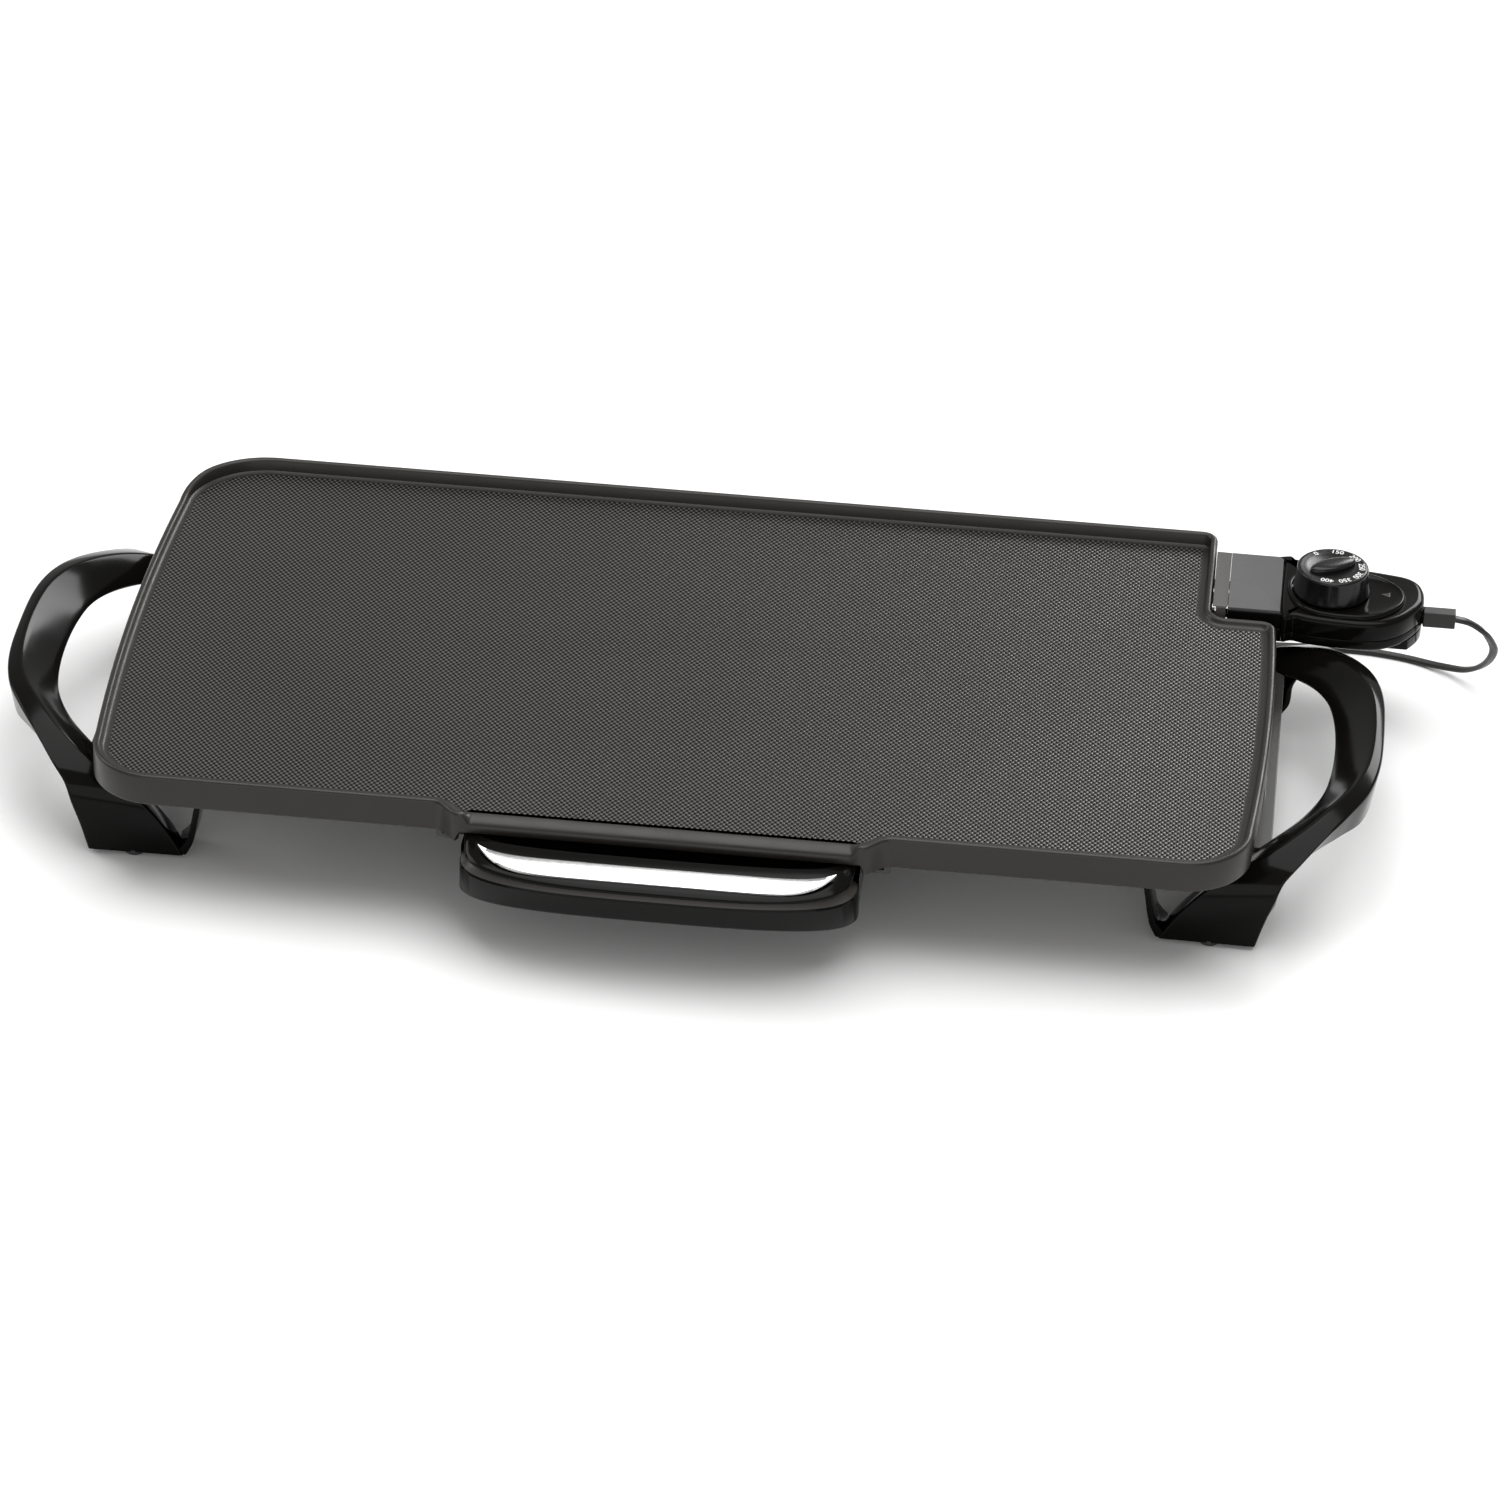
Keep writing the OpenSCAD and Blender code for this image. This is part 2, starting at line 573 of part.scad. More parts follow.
// Rubber foot: a pad inside the leg with a round nub below it
module foot_side(side) color([0.05, 0.05, 0.05]) {
    x = plate_l / 2 - 22;
    y = handle_y + side * 103;
    box([x - 21, y - 4.5, foot_z], [x + 20.5, y + 4.5, foot_z + 5]);
    box([x - 12, min(y, y + side * 6), foot_z], [x + 12, max(y, y + side * 6), foot_z + 5]);
    translate([x, y, 0]) rotate_extrude()
        polygon([[0, 0], [nub_r - 1.4, 0], [nub_r, 1.4], [nub_r, foot_z + 0.5], [0, foot_z + 0.5]]);
}

module left_side() in_frame() mirror([1, 0, 0]) children();

module left_handle() left_side() handle_side();

module left_crossbar() left_side() crossbar_side();

module left_front_foot() left_side() foot_side(-1);

module left_rear_foot() left_side() foot_side(1);

module right_handle() in_frame() handle_side();

module right_crossbar() in_frame() crossbar_side();

module right_front_foot() in_frame() foot_side(-1);

module right_rear_foot() in_frame() foot_side(1);

// ---------- heat control ----------

// Teardrop plan of the housing: straight front, round nose, slanting back
module control_plan(inset) {
    front = neck_y - 34 + inset;
    nose_r = 22;
    polygon(concat(
        [[body_x + inset, neck_y - neck_half + inset], [body_x + 14, front + 1]],
        arc([tip_x - nose_r - 5, neck_y - 11], nose_r + 1 - inset, -90, -20, 8),
        [[tip_x - inset, neck_y - 9], [tip_x - inset, neck_y + 0.5]],
        arc([tip_x - nose_r - 10, neck_y - 4], nose_r + 2 - inset, 35, 78, 5),
        [[body_x + 16, neck_y + neck_half - 0.6 - inset], [body_x + inset, neck_y + neck_half - inset]]));
}

// Neck that reaches over the contact pins
module neck_tunnel(lo, hi) box([neck_x, neck_y - neck_half, lo], [body_x + 1, neck_y + neck_half, hi]);

module control_upper() color([0.04, 0.04, 0.04]) in_frame() difference() {
    union() {
        translate([0, 0, ctl_part]) linear_extrude(height = ctl_top - ctl_part) control_plan(0);
        neck_tunnel(ctl_part, ctl_top - 1.5);
    }
    translate([0, 0, ctl_part - 1]) linear_extrude(height = ctl_top - ctl_part + 1 - ctl_wall)
        control_plan(ctl_wall);
    box([neck_x - 1, neck_y - neck_half + ctl_wall, ctl_part - 1],
        [body_x + ctl_wall + 2, neck_y + neck_half - ctl_wall, ctl_top - 1.5 - ctl_wall]);
    translate([dial_x, dial_y, ctl_top - 5]) cylinder(r = shaft_r + fit_gap, h = 10);
    box([tip_x - 6, relief_y - relief_w / 2 + 1.2, ctl_part - 1],
        [tip_x + 1, relief_y + relief_w / 2 - 1.2, relief_z + relief_h / 2 - 1.2]);
}

module control_lower() color([0.04, 0.04, 0.04]) in_frame() difference() {
    union() {
        translate([0, 0, ctl_bottom + 2]) linear_extrude(height = ctl_part - ctl_bottom - 2) control_plan(0);
        translate([0, 0, ctl_bottom]) linear_extrude(height = 3) control_plan(2);
        neck_tunnel(ctl_bottom + 1, ctl_part);
    }
    box([step_x, neck_y - 40, ctl_bottom - 1], [tip_x + 1, neck_y - step_in, ctl_step]);
    box([neck_x - 1, neck_y - 40, ctl_bottom - 1], [step_x + 1, neck_y - neck_step_in, ctl_step]);
    difference() {
        union() {
            difference() {
                union() {
                    translate([0, 0, ctl_bottom + ctl_wall]) linear_extrude(height = 30)
                        control_plan(ctl_wall + 1);
                    box([neck_x - 1, neck_y - neck_half + ctl_wall, ctl_bottom + 1 + ctl_wall],
                        [body_x + ctl_wall + 2, neck_y + neck_half - ctl_wall, ctl_part + 1]);
                }
                box([step_x - ctl_wall, neck_y - 41, ctl_bottom - 1],
                    [tip_x + 1, neck_y - step_in + ctl_wall, ctl_step + ctl_wall]);
                box([neck_x - 2, neck_y - 41, ctl_bottom - 1],
                    [step_x + 1, neck_y - neck_step_in + ctl_wall, ctl_step + ctl_wall]);
            }
        }
        for (p = control_posts) translate([p[0], p[1], ctl_bottom]) cylinder(r = 3.4, h = ctl_part - ctl_bottom);
    }
    for (p = control_posts) translate([p[0], p[1], ctl_bottom - 1]) cylinder(r = 1.5, h = 30);
    box([tip_x - 6, relief_y - relief_w / 2 + 1.2, relief_z - relief_h / 2 + 1.2],
        [tip_x + 1, relief_y + relief_w / 2 - 1.2, ctl_part + 1]);
}

control_posts = [[body_x + 9, neck_y - 13], [body_x + 8, neck_y + 20], [tip_x - 14, neck_y - 13]];

module housing_screws() color([0.75, 0.75, 0.76]) in_frame() for (p = control_posts)
    translate([p[0], p[1], ctl_bottom - 0.8]) {
        cylinder(r = 1.5, h = ctl_part - ctl_bottom - 1);
        cylinder(r = 2.9, h = 0.8);
    }

module neck_cover() color([0.45, 0.45, 0.45]) in_frame() difference() {
    box([neck_x, neck_y - neck_half, ctl_top - 1.5], [body_x - 0.2, neck_y + neck_half, ctl_top]);
    translate([dial_x, dial_y, ctl_top - 3]) cylinder(r = dial_r + 8.5, h = 6);
}

// Teardrop ring round the dial
module control_bezel() color([0.02, 0.02, 0.02]) in_frame() translate([0, 0, ctl_top]) difference() {
    union() {
        translate([dial_x, dial_y, 0]) cylinder(r = dial_r + 4.6, h = 1.2);
        linear_extrude(height = 1.2) polygon([[dial_x + 8, dial_y - dial_r - 1.4], [tip_x - 9, neck_y - 4.5],
            [dial_x + 8, dial_y + dial_r + 1.4]]);
    }
    translate([dial_x, dial_y, -1]) cylinder(r = shaft_r + 1.5, h = 4);
    translate([dial_x + dial_r + 10, dial_y, 0]) pointer_hole(0.05);
}

module pointer_hole(gap) translate([0, 0, -1])
    linear_extrude(height = 4) polygon([[-3.2 - gap, 0], [2 + gap, -2.6 - gap], [2 + gap, 2.6 + gap]]);

module pointer_lens() color([0.8, 0.25, 0.1]) in_frame() translate([dial_x + dial_r + 10, dial_y, ctl_top])
    linear_extrude(height = 1.4) polygon([[-3, 0], [1.9, -2.4], [1.9, 2.4]]);

module neon_lamp() color([0.95, 0.6, 0.4]) in_frame()
    translate([dial_x + dial_r + 10, dial_y, ctl_top - ctl_wall - 9]) {
        cylinder(r = 2.4, h = 6.5);
        translate([0, 0, 6.5]) sphere(r = 2.4);
    }

// Moulded block that holds the probe and the two contact sockets
module socket_block() color([0.3, 0.16, 0.1]) in_frame() difference() {
    box([body_x - 9, neck_y - 19.6, pin_z - 7], [body_x - 1, neck_y + 22, pin_z + 7]);
    for (s = [-1, 1]) rod_x(body_x - 20, body_x + 20, neck_y + s * pin_pitch / 2, pin_z, pin_r + 1.2);
    rod_x(body_x - 20, body_x + 20, neck_y, pin_z, probe_r);
}

module contact_sockets() color([0.8, 0.65, 0.3]) in_frame() for (s = [-1, 1]) difference() {
    rod_x(body_x - 24, body_x + 5, neck_y + s * pin_pitch / 2, pin_z, pin_r + 1.2);
    rod_x(body_x - 25, body_x + 3, neck_y + s * pin_pitch / 2, pin_z, pin_r + fit_gap);
}

module sensing_probe() color([0.8, 0.8, 0.8]) in_frame()
    translate([body_x + 4, neck_y, pin_z]) rotate([0, -90, 0]) rotate_extrude()
        polygon([[0, 0], [probe_r, 0], [probe_r, probe_l + 36.5], [0, probe_l + 38.5]]);

module probe_collar() color([0.75, 0.75, 0.73]) in_frame() difference() {
    rod_x(body_x - 13, body_x - 9, neck_y, pin_z, probe_r + 2.2);
    rod_x(body_x - 14, body_x - 8, neck_y, pin_z, probe_r);
}

module thermostat_frame() color([0.7, 0.7, 0.72]) in_frame() difference() {
    union() {
        box([body_x + 5, neck_y - 8, ctl_bottom + ctl_wall + 0.2],
            [body_x + 44, neck_y + 2, ctl_bottom + ctl_wall + 1.4]);
        box([body_x + 5, neck_y - 8, ctl_bottom + ctl_wall + 0.2], [body_x + 6.4, neck_y + 2, pin_z + 6]);
    }
    rod_x(body_x, body_x + 10, neck_y, pin_z, probe_r + 0.2);
}

module bimetal_strip() color([0.75, 0.6, 0.35]) in_frame()
    box([body_x + 6.6, neck_y - 7, pin_z + 4.6], [body_x + 40, neck_y - 1, pin_z + 5.6]);

module contact_points() color([0.85, 0.85, 0.8]) in_frame() translate([body_x + 38, neck_y - 4, 0]) {
    translate([0, 0, pin_z + 2.8]) cylinder(r = 2, h = 1.8);
    translate([0, 0, pin_z + 0.8]) cylinder(r = 2, h = 1.8);
}

// Dial: a skirted knob with a raised oval grip
module dial_knob() color([0.03, 0.03, 0.03]) in_frame()
    translate([dial_x, dial_y, ctl_top + 1.6]) difference() {
        union() {
            rotate_extrude() polygon([[0, 0], [dial_r + 1.2, 0], [dial_r + 1.2, 1], [dial_r, dial_h - 1],
                [dial_r - 1, dial_h], [0, dial_h]]);
            translate([0, 0, dial_h - 0.5]) intersection() {
                cylinder(r = dial_r * 0.62, h = 2.2);
                translate([-dial_r, -dial_r * 0.36, 0]) cube([2 * dial_r, dial_r * 0.72, 2.2]);
            }
        }
        translate([0, 0, -1]) cylinder(r = shaft_r, h = dial_h - 2);
    }

module dial_shaft() color([0.8, 0.8, 0.8]) in_frame() translate([dial_x, dial_y, pin_z + 6])
    rotate_extrude() polygon([[0, 0], [1.2, 0], [1.2, 1], [shaft_r, 2.4],
        [shaft_r, ctl_top + dial_h - pin_z - 7.4], [0, ctl_top + dial_h - pin_z - 7.4]]);

module strain_relief() color([0.03, 0.03, 0.03]) in_frame() union() {
    box([tip_x, relief_y - relief_w / 2, relief_z - relief_h / 2],
        [relief_x, relief_y + relief_w / 2, relief_z + relief_h / 2]);
    box([tip_x - 5, relief_y - relief_w / 2 + 1.4, relief_z - relief_h / 2 + 1.4],
        [tip_x + 0.1, relief_y + relief_w / 2 - 1.4, relief_z + relief_h / 2 - 1.4]);
}

// ---------- cord, lying free ----------

cord_sides = 8;

// Rings of the flat lead along a route: the width stays as level as the route allows
function cord_ring(c, along) =
    let (f = unit(along), side = unit(cross([0, 0, 1], f)), up = cross(f, side))
    [for (k = [0 : cord_sides - 1]) let (a = 360 * k / cord_sides + 180 / cord_sides)
        c + side * (cord_w / 2 * cos(a)) + up * (cord_t / 2 * sin(a))];

module cord_tube(route, start) {
    n = len(route) - 1;
    loft([for (k = [0 : n])
        cord_ring(start + route[k], route[min(k + 1, n)] - route[max(k - 1, 0)])]);
}

module cord_lead() color([0.05, 0.05, 0.05]) in_frame() cord_tube(lead_route, [relief_x, relief_y, relief_z]);

module cord_coil() color([0.05, 0.05, 0.05]) in_frame() translate([coil_x, coil_y, 0.1]) rotate_extrude()
    translate([coil_r - cord_w / 2, 0]) square([cord_w, coil_h - 0.1]);

module cord_tail() color([0.05, 0.05, 0.05]) in_frame() cord_tube(tail_route, [coil_x, coil_y - coil_r, 1.5]);

module cord_tie() color([0.08, 0.08, 0.08]) in_frame() translate([coil_x + coil_r, coil_y, 0]) difference() {
    box([-cord_w / 2 - 0.9, -2, 0], [cord_w / 2 + 0.9, 2, coil_h + 0.9]);
    box([-cord_w / 2 - 0.1, -3, 0.1], [cord_w / 2 + 0.1, 3, coil_h]);
}

module plug() color([0.05, 0.05, 0.05]) in_frame() {
    box([plug_x - plug_l, plug_y - plug_w / 2, 0.1], [plug_x - 8, plug_y + plug_w / 2, plug_h + 0.1]);
    box([plug_x - 8.01, plug_y - 5, plug_z - 4.5], [plug_x, plug_y + 5, plug_z + 4.5]);
}

module plug_blades() color([0.85, 0.75, 0.45]) in_frame() for (s = [-1, 1])
    box([plug_x - plug_l - blade_l, plug_y + s * blade_gap / 2 - 0.75, plug_z - 3.2],
        [plug_x - plug_l, plug_y + s * blade_gap / 2 + 0.75, plug_z + 3.2]);

griddle_plate();
heating_element();
terminal_bush();
terminal_pins();
terminal_guard();
guard_screws();
left_bracket();
right_bracket();
bracket_screws();
tray_rails();
rail_screws();
drip_tray();
tray_trim();
left_handle();
left_crossbar();
left_front_foot();
left_rear_foot();
right_handle();
right_crossbar();
right_front_foot();
right_rear_foot();
control_upper();
control_lower();
neck_cover();
control_bezel();
pointer_lens();
neon_lamp();
socket_block();
contact_sockets();
sensing_probe();
probe_collar();
thermostat_frame();
bimetal_strip();
contact_points();
housing_screws();
strain_relief();
dial_knob();
dial_shaft();
cord_lead();
cord_coil();
cord_tail();
cord_tie();
plug();
plug_blades();
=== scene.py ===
"""Looks for the electric griddle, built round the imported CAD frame. Shapes are in millimetres of the
griddle's own layout: x and y from the middle of the plate, z from the counter. at() turns them into
metres of the shared frame. Lights and the scales in materials are in metres."""

import math

import bmesh
import bpy
from mathutils import Matrix, Vector


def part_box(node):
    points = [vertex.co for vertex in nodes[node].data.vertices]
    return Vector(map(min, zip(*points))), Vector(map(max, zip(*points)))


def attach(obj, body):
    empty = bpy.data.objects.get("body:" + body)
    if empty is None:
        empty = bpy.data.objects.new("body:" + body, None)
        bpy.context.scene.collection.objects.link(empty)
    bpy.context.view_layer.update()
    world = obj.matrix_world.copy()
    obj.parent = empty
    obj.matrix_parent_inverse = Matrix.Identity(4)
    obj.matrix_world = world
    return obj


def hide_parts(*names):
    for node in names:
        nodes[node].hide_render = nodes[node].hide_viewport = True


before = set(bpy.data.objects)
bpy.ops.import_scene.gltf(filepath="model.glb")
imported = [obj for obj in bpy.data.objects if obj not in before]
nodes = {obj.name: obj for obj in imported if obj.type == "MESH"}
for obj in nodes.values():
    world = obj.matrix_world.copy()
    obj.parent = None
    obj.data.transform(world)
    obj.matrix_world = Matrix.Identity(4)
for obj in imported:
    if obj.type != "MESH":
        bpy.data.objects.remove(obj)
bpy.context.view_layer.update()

MM = 0.001

# ---------- sizes read from the frame ----------

plate_low, plate_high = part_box("griddle_plate")
upper_low, upper_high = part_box("control_upper")
lower_low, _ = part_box("control_lower")
dial_low, dial_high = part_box("dial_knob")
tray_low, tray_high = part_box("drip_tray")
relief_low, relief_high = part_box("strain_relief")
coil_low, coil_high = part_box("cord_coil")

HALF_D = 156  # half the plate's depth over its rims, without the spout
half_l = (plate_high[0] - plate_low[0]) / 2 / MM
middle_x = (plate_high[0] + plate_low[0]) / 2
middle_y = plate_high[1] - HALF_D * MM


def at(x, y, z):
    """A point of the griddle's own layout, as metres of the shared frame."""
    return Vector((middle_x + x * MM, middle_y + y * MM, z * MM))


def own(point):
    """A point of the shared frame, in the griddle's own layout."""
    return ((point[0] - middle_x) / MM, (point[1] - middle_y) / MM, point[2] / MM)


# Plate
LEDGE_Z = plate_high[2] / MM
RIM_Z = LEDGE_Z - 4
PAN_Z = RIM_Z - 3
UNDER_Z = PAN_Z - 5
SKIRT_Z = RIM_Z - 16.4
LIP_ROLL = 9.5
LIP_FALL = 4.6
SPOUT_UNDER = UNDER_Z - 2.8
END_BOW = 8
CORNER_FRONT = 33
CORNER_BACK = 45
NOTCH_X = half_l - 35
NOTCH_Y = 77
NOTCH_R = 8
SPOUT_HALF = 97
SPOUT_OUT = 10
SPOUT_CURVE = 14

# Heat control
NECK_Y = HALF_D - 44.5
NECK_HALF = 28
PIN_Z = UNDER_Z - 1.8
NECK_X = own(upper_low)[0]
BODY_X = NECK_X + 27
CONTROL_TOP = upper_high[2] / MM
CONTROL_LOW = lower_low[2] / MM
PART_Z = upper_low[2] / MM
DIAL_X, DIAL_Y, _ = own(((dial_low[0] + dial_high[0]) / 2, (dial_low[1] + dial_high[1]) / 2, 0))
DIAL_R = 18.3
DIAL_BASE_Z = dial_low[2] / MM
DIAL_TOP_Z = DIAL_BASE_Z + 14
TIP_X = own(upper_high)[0]

# Handles
HANDLE_Y = -8
GRIP_Z = 64
SHELL = 3

# Cord
CORD_W = 4.6
CORD_T = 2.8
CORD_LIFT = 0.1  # clearance over the counter

# Camera
SENSOR = 36
LENS_LENGTH = 156.06
CAMERA_PLACE = (273.4, -2769.7, 1759.2)
CAMERA_RIGHT = (0.99379, 0.10718, 0.03002)
CAMERA_FORWARD = (-0.07497, 0.84392, -0.53121)


# ---------- materials ----------


def new_material(name):
    """An empty Principled material and its node tree."""
    material = bpy.data.materials.new(name)
    material.use_nodes = True
    return material, material.node_tree, material.node_tree.nodes["Principled BSDF"]


def node(tree, kind, **settings):
    """A new shader node with its settings."""
    made = tree.nodes.new(kind)
    for key, value in settings.items():
        setattr(made, key, value)
    return made


def object_place(tree):
    """Place on the object in metres, which never depends on the camera."""
    return node(tree, "ShaderNodeTexCoord").outputs["Object"]


def noise(tree, scale, detail=3, place=None, stretch=None):
    """Noise of about 1 / scale metres, stretched along an axis where asked."""
    place = place or object_place(tree)
    if stretch:
        mapping = node(tree, "ShaderNodeMapping")
        mapping.inputs["Scale"].default_value = stretch
        tree.links.new(place, mapping.inputs["Vector"])
        place = mapping.outputs["Vector"]
    made = node(tree, "ShaderNodeTexNoise")
    made.inputs["Scale"].default_value = scale
    made.inputs["Detail"].default_value = detail
    tree.links.new(place, made.inputs["Vector"])
    return made.outputs["Fac"]


def math_node(tree, operation, a, b=None):
    """A maths node on sockets or numbers."""
    made = node(tree, "ShaderNodeMath", operation=operation)
    for socket, value in zip(made.inputs, (a, b)):
        if value is None:
            continue
        if isinstance(value, (int, float)):
            socket.default_value = value
        else:
            tree.links.new(value, socket)
    return made.outputs[0]


def mix_colours(tree, share, low, high):
    """Mixes two colours, each a plain one or a socket, by a 0 to 1 share."""
    made = node(tree, "ShaderNodeMix", data_type="RGBA")
    tree.links.new(share, made.inputs["Factor"])
    for index, colour in ((6, low), (7, high)):
        if isinstance(colour, bpy.types.NodeSocket):
            tree.links.new(colour, made.inputs[index])
        else:
            made.inputs[index].default_value = (*colour, 1)
    return made.outputs[2]


def ramp(tree, value, low, high):
    """Spreads a noise value between two numbers, or mixes two colours by it."""
    if not isinstance(low, (int, float)):
        return mix_colours(tree, value, low, high)
    made = node(tree, "ShaderNodeMapRange")
    made.inputs["From Min"].default_value = 0.3
    made.inputs["From Max"].default_value = 0.7
    made.inputs["To Min"].default_value = low
    made.inputs["To Max"].default_value = high
    tree.links.new(value, made.inputs["Value"])
    return made.outputs["Result"]


def bump(tree, shader, height, strength, distance):
    """Bump of a height socket on the shader's normal."""
    made = node(tree, "ShaderNodeBump")
    made.inputs["Strength"].default_value = strength
    made.inputs["Distance"].default_value = distance
    tree.links.new(height, made.inputs["Height"])
    tree.links.new(made.outputs["Normal"], shader.inputs["Normal"])


def edge_wear(tree, colour, worn, amount):
    """Mixes a worn colour in along convex edges, broken up by noise."""
    point = node(tree, "ShaderNodeNewGeometry").outputs["Pointiness"]
    edge = node(tree, "ShaderNodeMapRange")
    edge.inputs["From Min"].default_value = 0.52
    edge.inputs["From Max"].default_value = 0.62
    tree.links.new(point, edge.inputs["Value"])
    broken = math_node(tree, "MULTIPLY", edge.outputs["Result"], noise(tree, 600, 4))
    return mix_colours(tree, math_node(tree, "MULTIPLY", broken, amount), colour, worn)


def plastic(name, dark, light, rough, grain=900, depth=0.00002, coat=0.0, wear=0.25, shine=0.5):
    """Moulded plastic or vinyl: faint mottling, smudged gloss, fine grain and lighter edges."""
    material, tree, shader = new_material(name)
    mottle = noise(tree, 22, 5)
    colour = ramp(tree, mottle, dark, light)
    colour = edge_wear(tree, colour, [min(1, 2.5 * c + 0.02) for c in light], wear)
    tree.links.new(colour, shader.inputs["Base Color"])
    smudge = noise(tree, 14, 4, stretch=(1, 2.2, 1))
    tree.links.new(ramp(tree, smudge, rough * 0.8, rough * 1.25), shader.inputs["Roughness"])
    shader.inputs["Specular IOR Level"].default_value = shine
    shader.inputs["Coat Weight"].default_value = coat
    shader.inputs["Coat Roughness"].default_value = 0.05
    bump(tree, shader, noise(tree, grain, 3), 0.25, depth)
    return material


def metal(name, dark, light, rough, brushed=(1, 1, 1), scale=300, depth=0.00002):
    """Bare metal with brushing or rolling marks, dulled unevenly."""
    material, tree, shader = new_material(name)
    tree.links.new(ramp(tree, noise(tree, 40, 5), dark, light), shader.inputs["Base Color"])
    shader.inputs["Metallic"].default_value = 1
    marks = noise(tree, scale, 4, stretch=brushed)
    tree.links.new(ramp(tree, marks, rough * 0.7, rough * 1.3), shader.inputs["Roughness"])
    bump(tree, shader, marks, 0.3, depth)
    return material


def cook_surface():
    """Dark coating over a grid of tiny diamonds; their tops carry a painted glint, coloured much lighter than
    the valleys, and get more shine.
    """
    material, tree, shader = new_material("cook_surface")
    place = object_place(tree)
    split = node(tree, "ShaderNodeSeparateXYZ")
    tree.links.new(place, split.inputs["Vector"])
    pitch_x, pitch_y = 0.0027, 0.0036
    across = math_node(tree, "MULTIPLY", split.outputs["X"], 2 * math.pi / pitch_x)
    along = math_node(tree, "MULTIPLY", split.outputs["Y"], 2 * math.pi / pitch_y)
    waves = math_node(tree, "MULTIPLY", math_node(tree, "SINE", across), math_node(tree, "SINE", along))
    diamonds = math_node(tree, "MULTIPLY_ADD", waves, 0.5)
    diamonds.node.inputs[2].default_value = 0.5
    cloud = noise(tree, 6, 5)
    valley = ramp(tree, cloud, (0.0026, 0.0023, 0.0021), (0.0042, 0.0038, 0.0035))
    # Painted highlight: the diamonds' tops are coloured far lighter than the valleys, a painted glint of the
    # lights on the same dark coating.
    painted_glint = ramp(tree, cloud, (0.092, 0.086, 0.081), (0.112, 0.105, 0.098))
    colour = mix_colours(tree, math_node(tree, "POWER", diamonds, 2.8), valley, painted_glint)
    tree.links.new(colour, shader.inputs["Base Color"])
    dull = ramp(tree, noise(tree, 18, 4), 0.30, 0.38)
    polish = math_node(tree, "MULTIPLY", diamonds, 0.10)
    tree.links.new(math_node(tree, "SUBTRACT", dull, polish), shader.inputs["Roughness"])
    shine = math_node(tree, "MULTIPLY", math_node(tree, "POWER", diamonds, 1.5), 0.75)
    tree.links.new(shine, shader.inputs["Specular IOR Level"])
    grit = math_node(tree, "MULTIPLY", noise(tree, 2600, 2), 0.25)
    bump(tree, shader, math_node(tree, "ADD", diamonds, grit), 0.7, 0.0003)
    return material


def coating(name, dark, light, rough, shine=0.4):
    """The same coating where the casting is smooth: rim, skirt and underside."""
    material, tree, shader = new_material(name)
    colour = ramp(tree, noise(tree, 18, 5), dark, light)
    tree.links.new(edge_wear(tree, colour, (0.10, 0.09, 0.08), 0.16), shader.inputs["Base Color"])
    tree.links.new(ramp(tree, noise(tree, 60, 4), rough * 0.85, rough * 1.15), shader.inputs["Roughness"])
    shader.inputs["Specular IOR Level"].default_value = shine
    bump(tree, shader, noise(tree, 1500, 3), 0.3, 0.00005)
    return material


def glass(name, colour):
    """Faintly tinted glass with a smudged gloss."""
    material, tree, shader = new_material(name)
    shader.inputs["Base Color"].default_value = (*colour, 1)
    shader.inputs["Transmission Weight"].default_value = 0.8
    tree.links.new(ramp(tree, noise(tree, 120, 3), 0.04, 0.14), shader.inputs["Roughness"])
    bump(tree, shader, noise(tree, 700, 2), 0.1, 0.00001)
    return material


def floor_material():
    """Pale studio floor, almost even."""
    material, tree, shader = new_material("studio_floor")
    colour = ramp(tree, noise(tree, 1.5, 2), (0.86, 0.86, 0.86), (0.88, 0.88, 0.88))
    tree.links.new(colour, shader.inputs["Base Color"])
    shader.inputs["Roughness"].default_value = 0.75
    shader.inputs["Specular IOR Level"].default_value = 0.2
    return material


COOK = cook_surface()
COAT = coating("rim_coating", (0.0092, 0.0078, 0.0066), (0.0140, 0.0121, 0.0104), 0.36, 0.36)
COAT_UNDER = coating("under_coating", (0.030, 0.028, 0.025), (0.048, 0.044, 0.040), 0.5)
GLOSS = plastic("gloss_black", (0.0022, 0.0020, 0.0018), (0.0038, 0.0034, 0.0030), 0.12,
                grain=400, depth=0.00001, wear=0.1, shine=0.09)
# Lighter grey for the tray's finger groove: a painted reflection of the floor, on what is the same black
# plastic as the rest of the tray.
GROOVE_PAINTED_SHEEN = plastic("groove_painted_sheen", (0.038, 0.034, 0.030), (0.052, 0.047, 0.042), 0.4, 1200, 0.00002)
BAR = plastic("bar_black", (0.020, 0.019, 0.018), (0.034, 0.032, 0.030), 0.36)
RAIL = plastic("rail_black", (0.012, 0.012, 0.012), (0.022, 0.021, 0.020), 0.4)
RUBBER = plastic("foot_rubber", (0.018, 0.018, 0.018), (0.030, 0.030, 0.030), 0.62, 1400, 0.00006)
NECK = plastic("neck_grey", (0.060, 0.060, 0.061), (0.076, 0.076, 0.077), 0.46,
               grain=1600, depth=0.00003, wear=0.2, shine=0.25)
STRIP = plastic("guard_grey", (0.058, 0.056, 0.053), (0.080, 0.077, 0.073), 0.45,
                grain=1600, depth=0.00003, wear=0.2, shine=0.2)
DIAL = plastic("dial_black", (0.0026, 0.0026, 0.0026), (0.0046, 0.0046, 0.0046), 0.2,
               depth=0.00001, wear=0.12, shine=0.3)
PRINT = plastic("dial_print", (0.62, 0.62, 0.60), (0.78, 0.78, 0.76), 0.5, 1500, 0.00001)
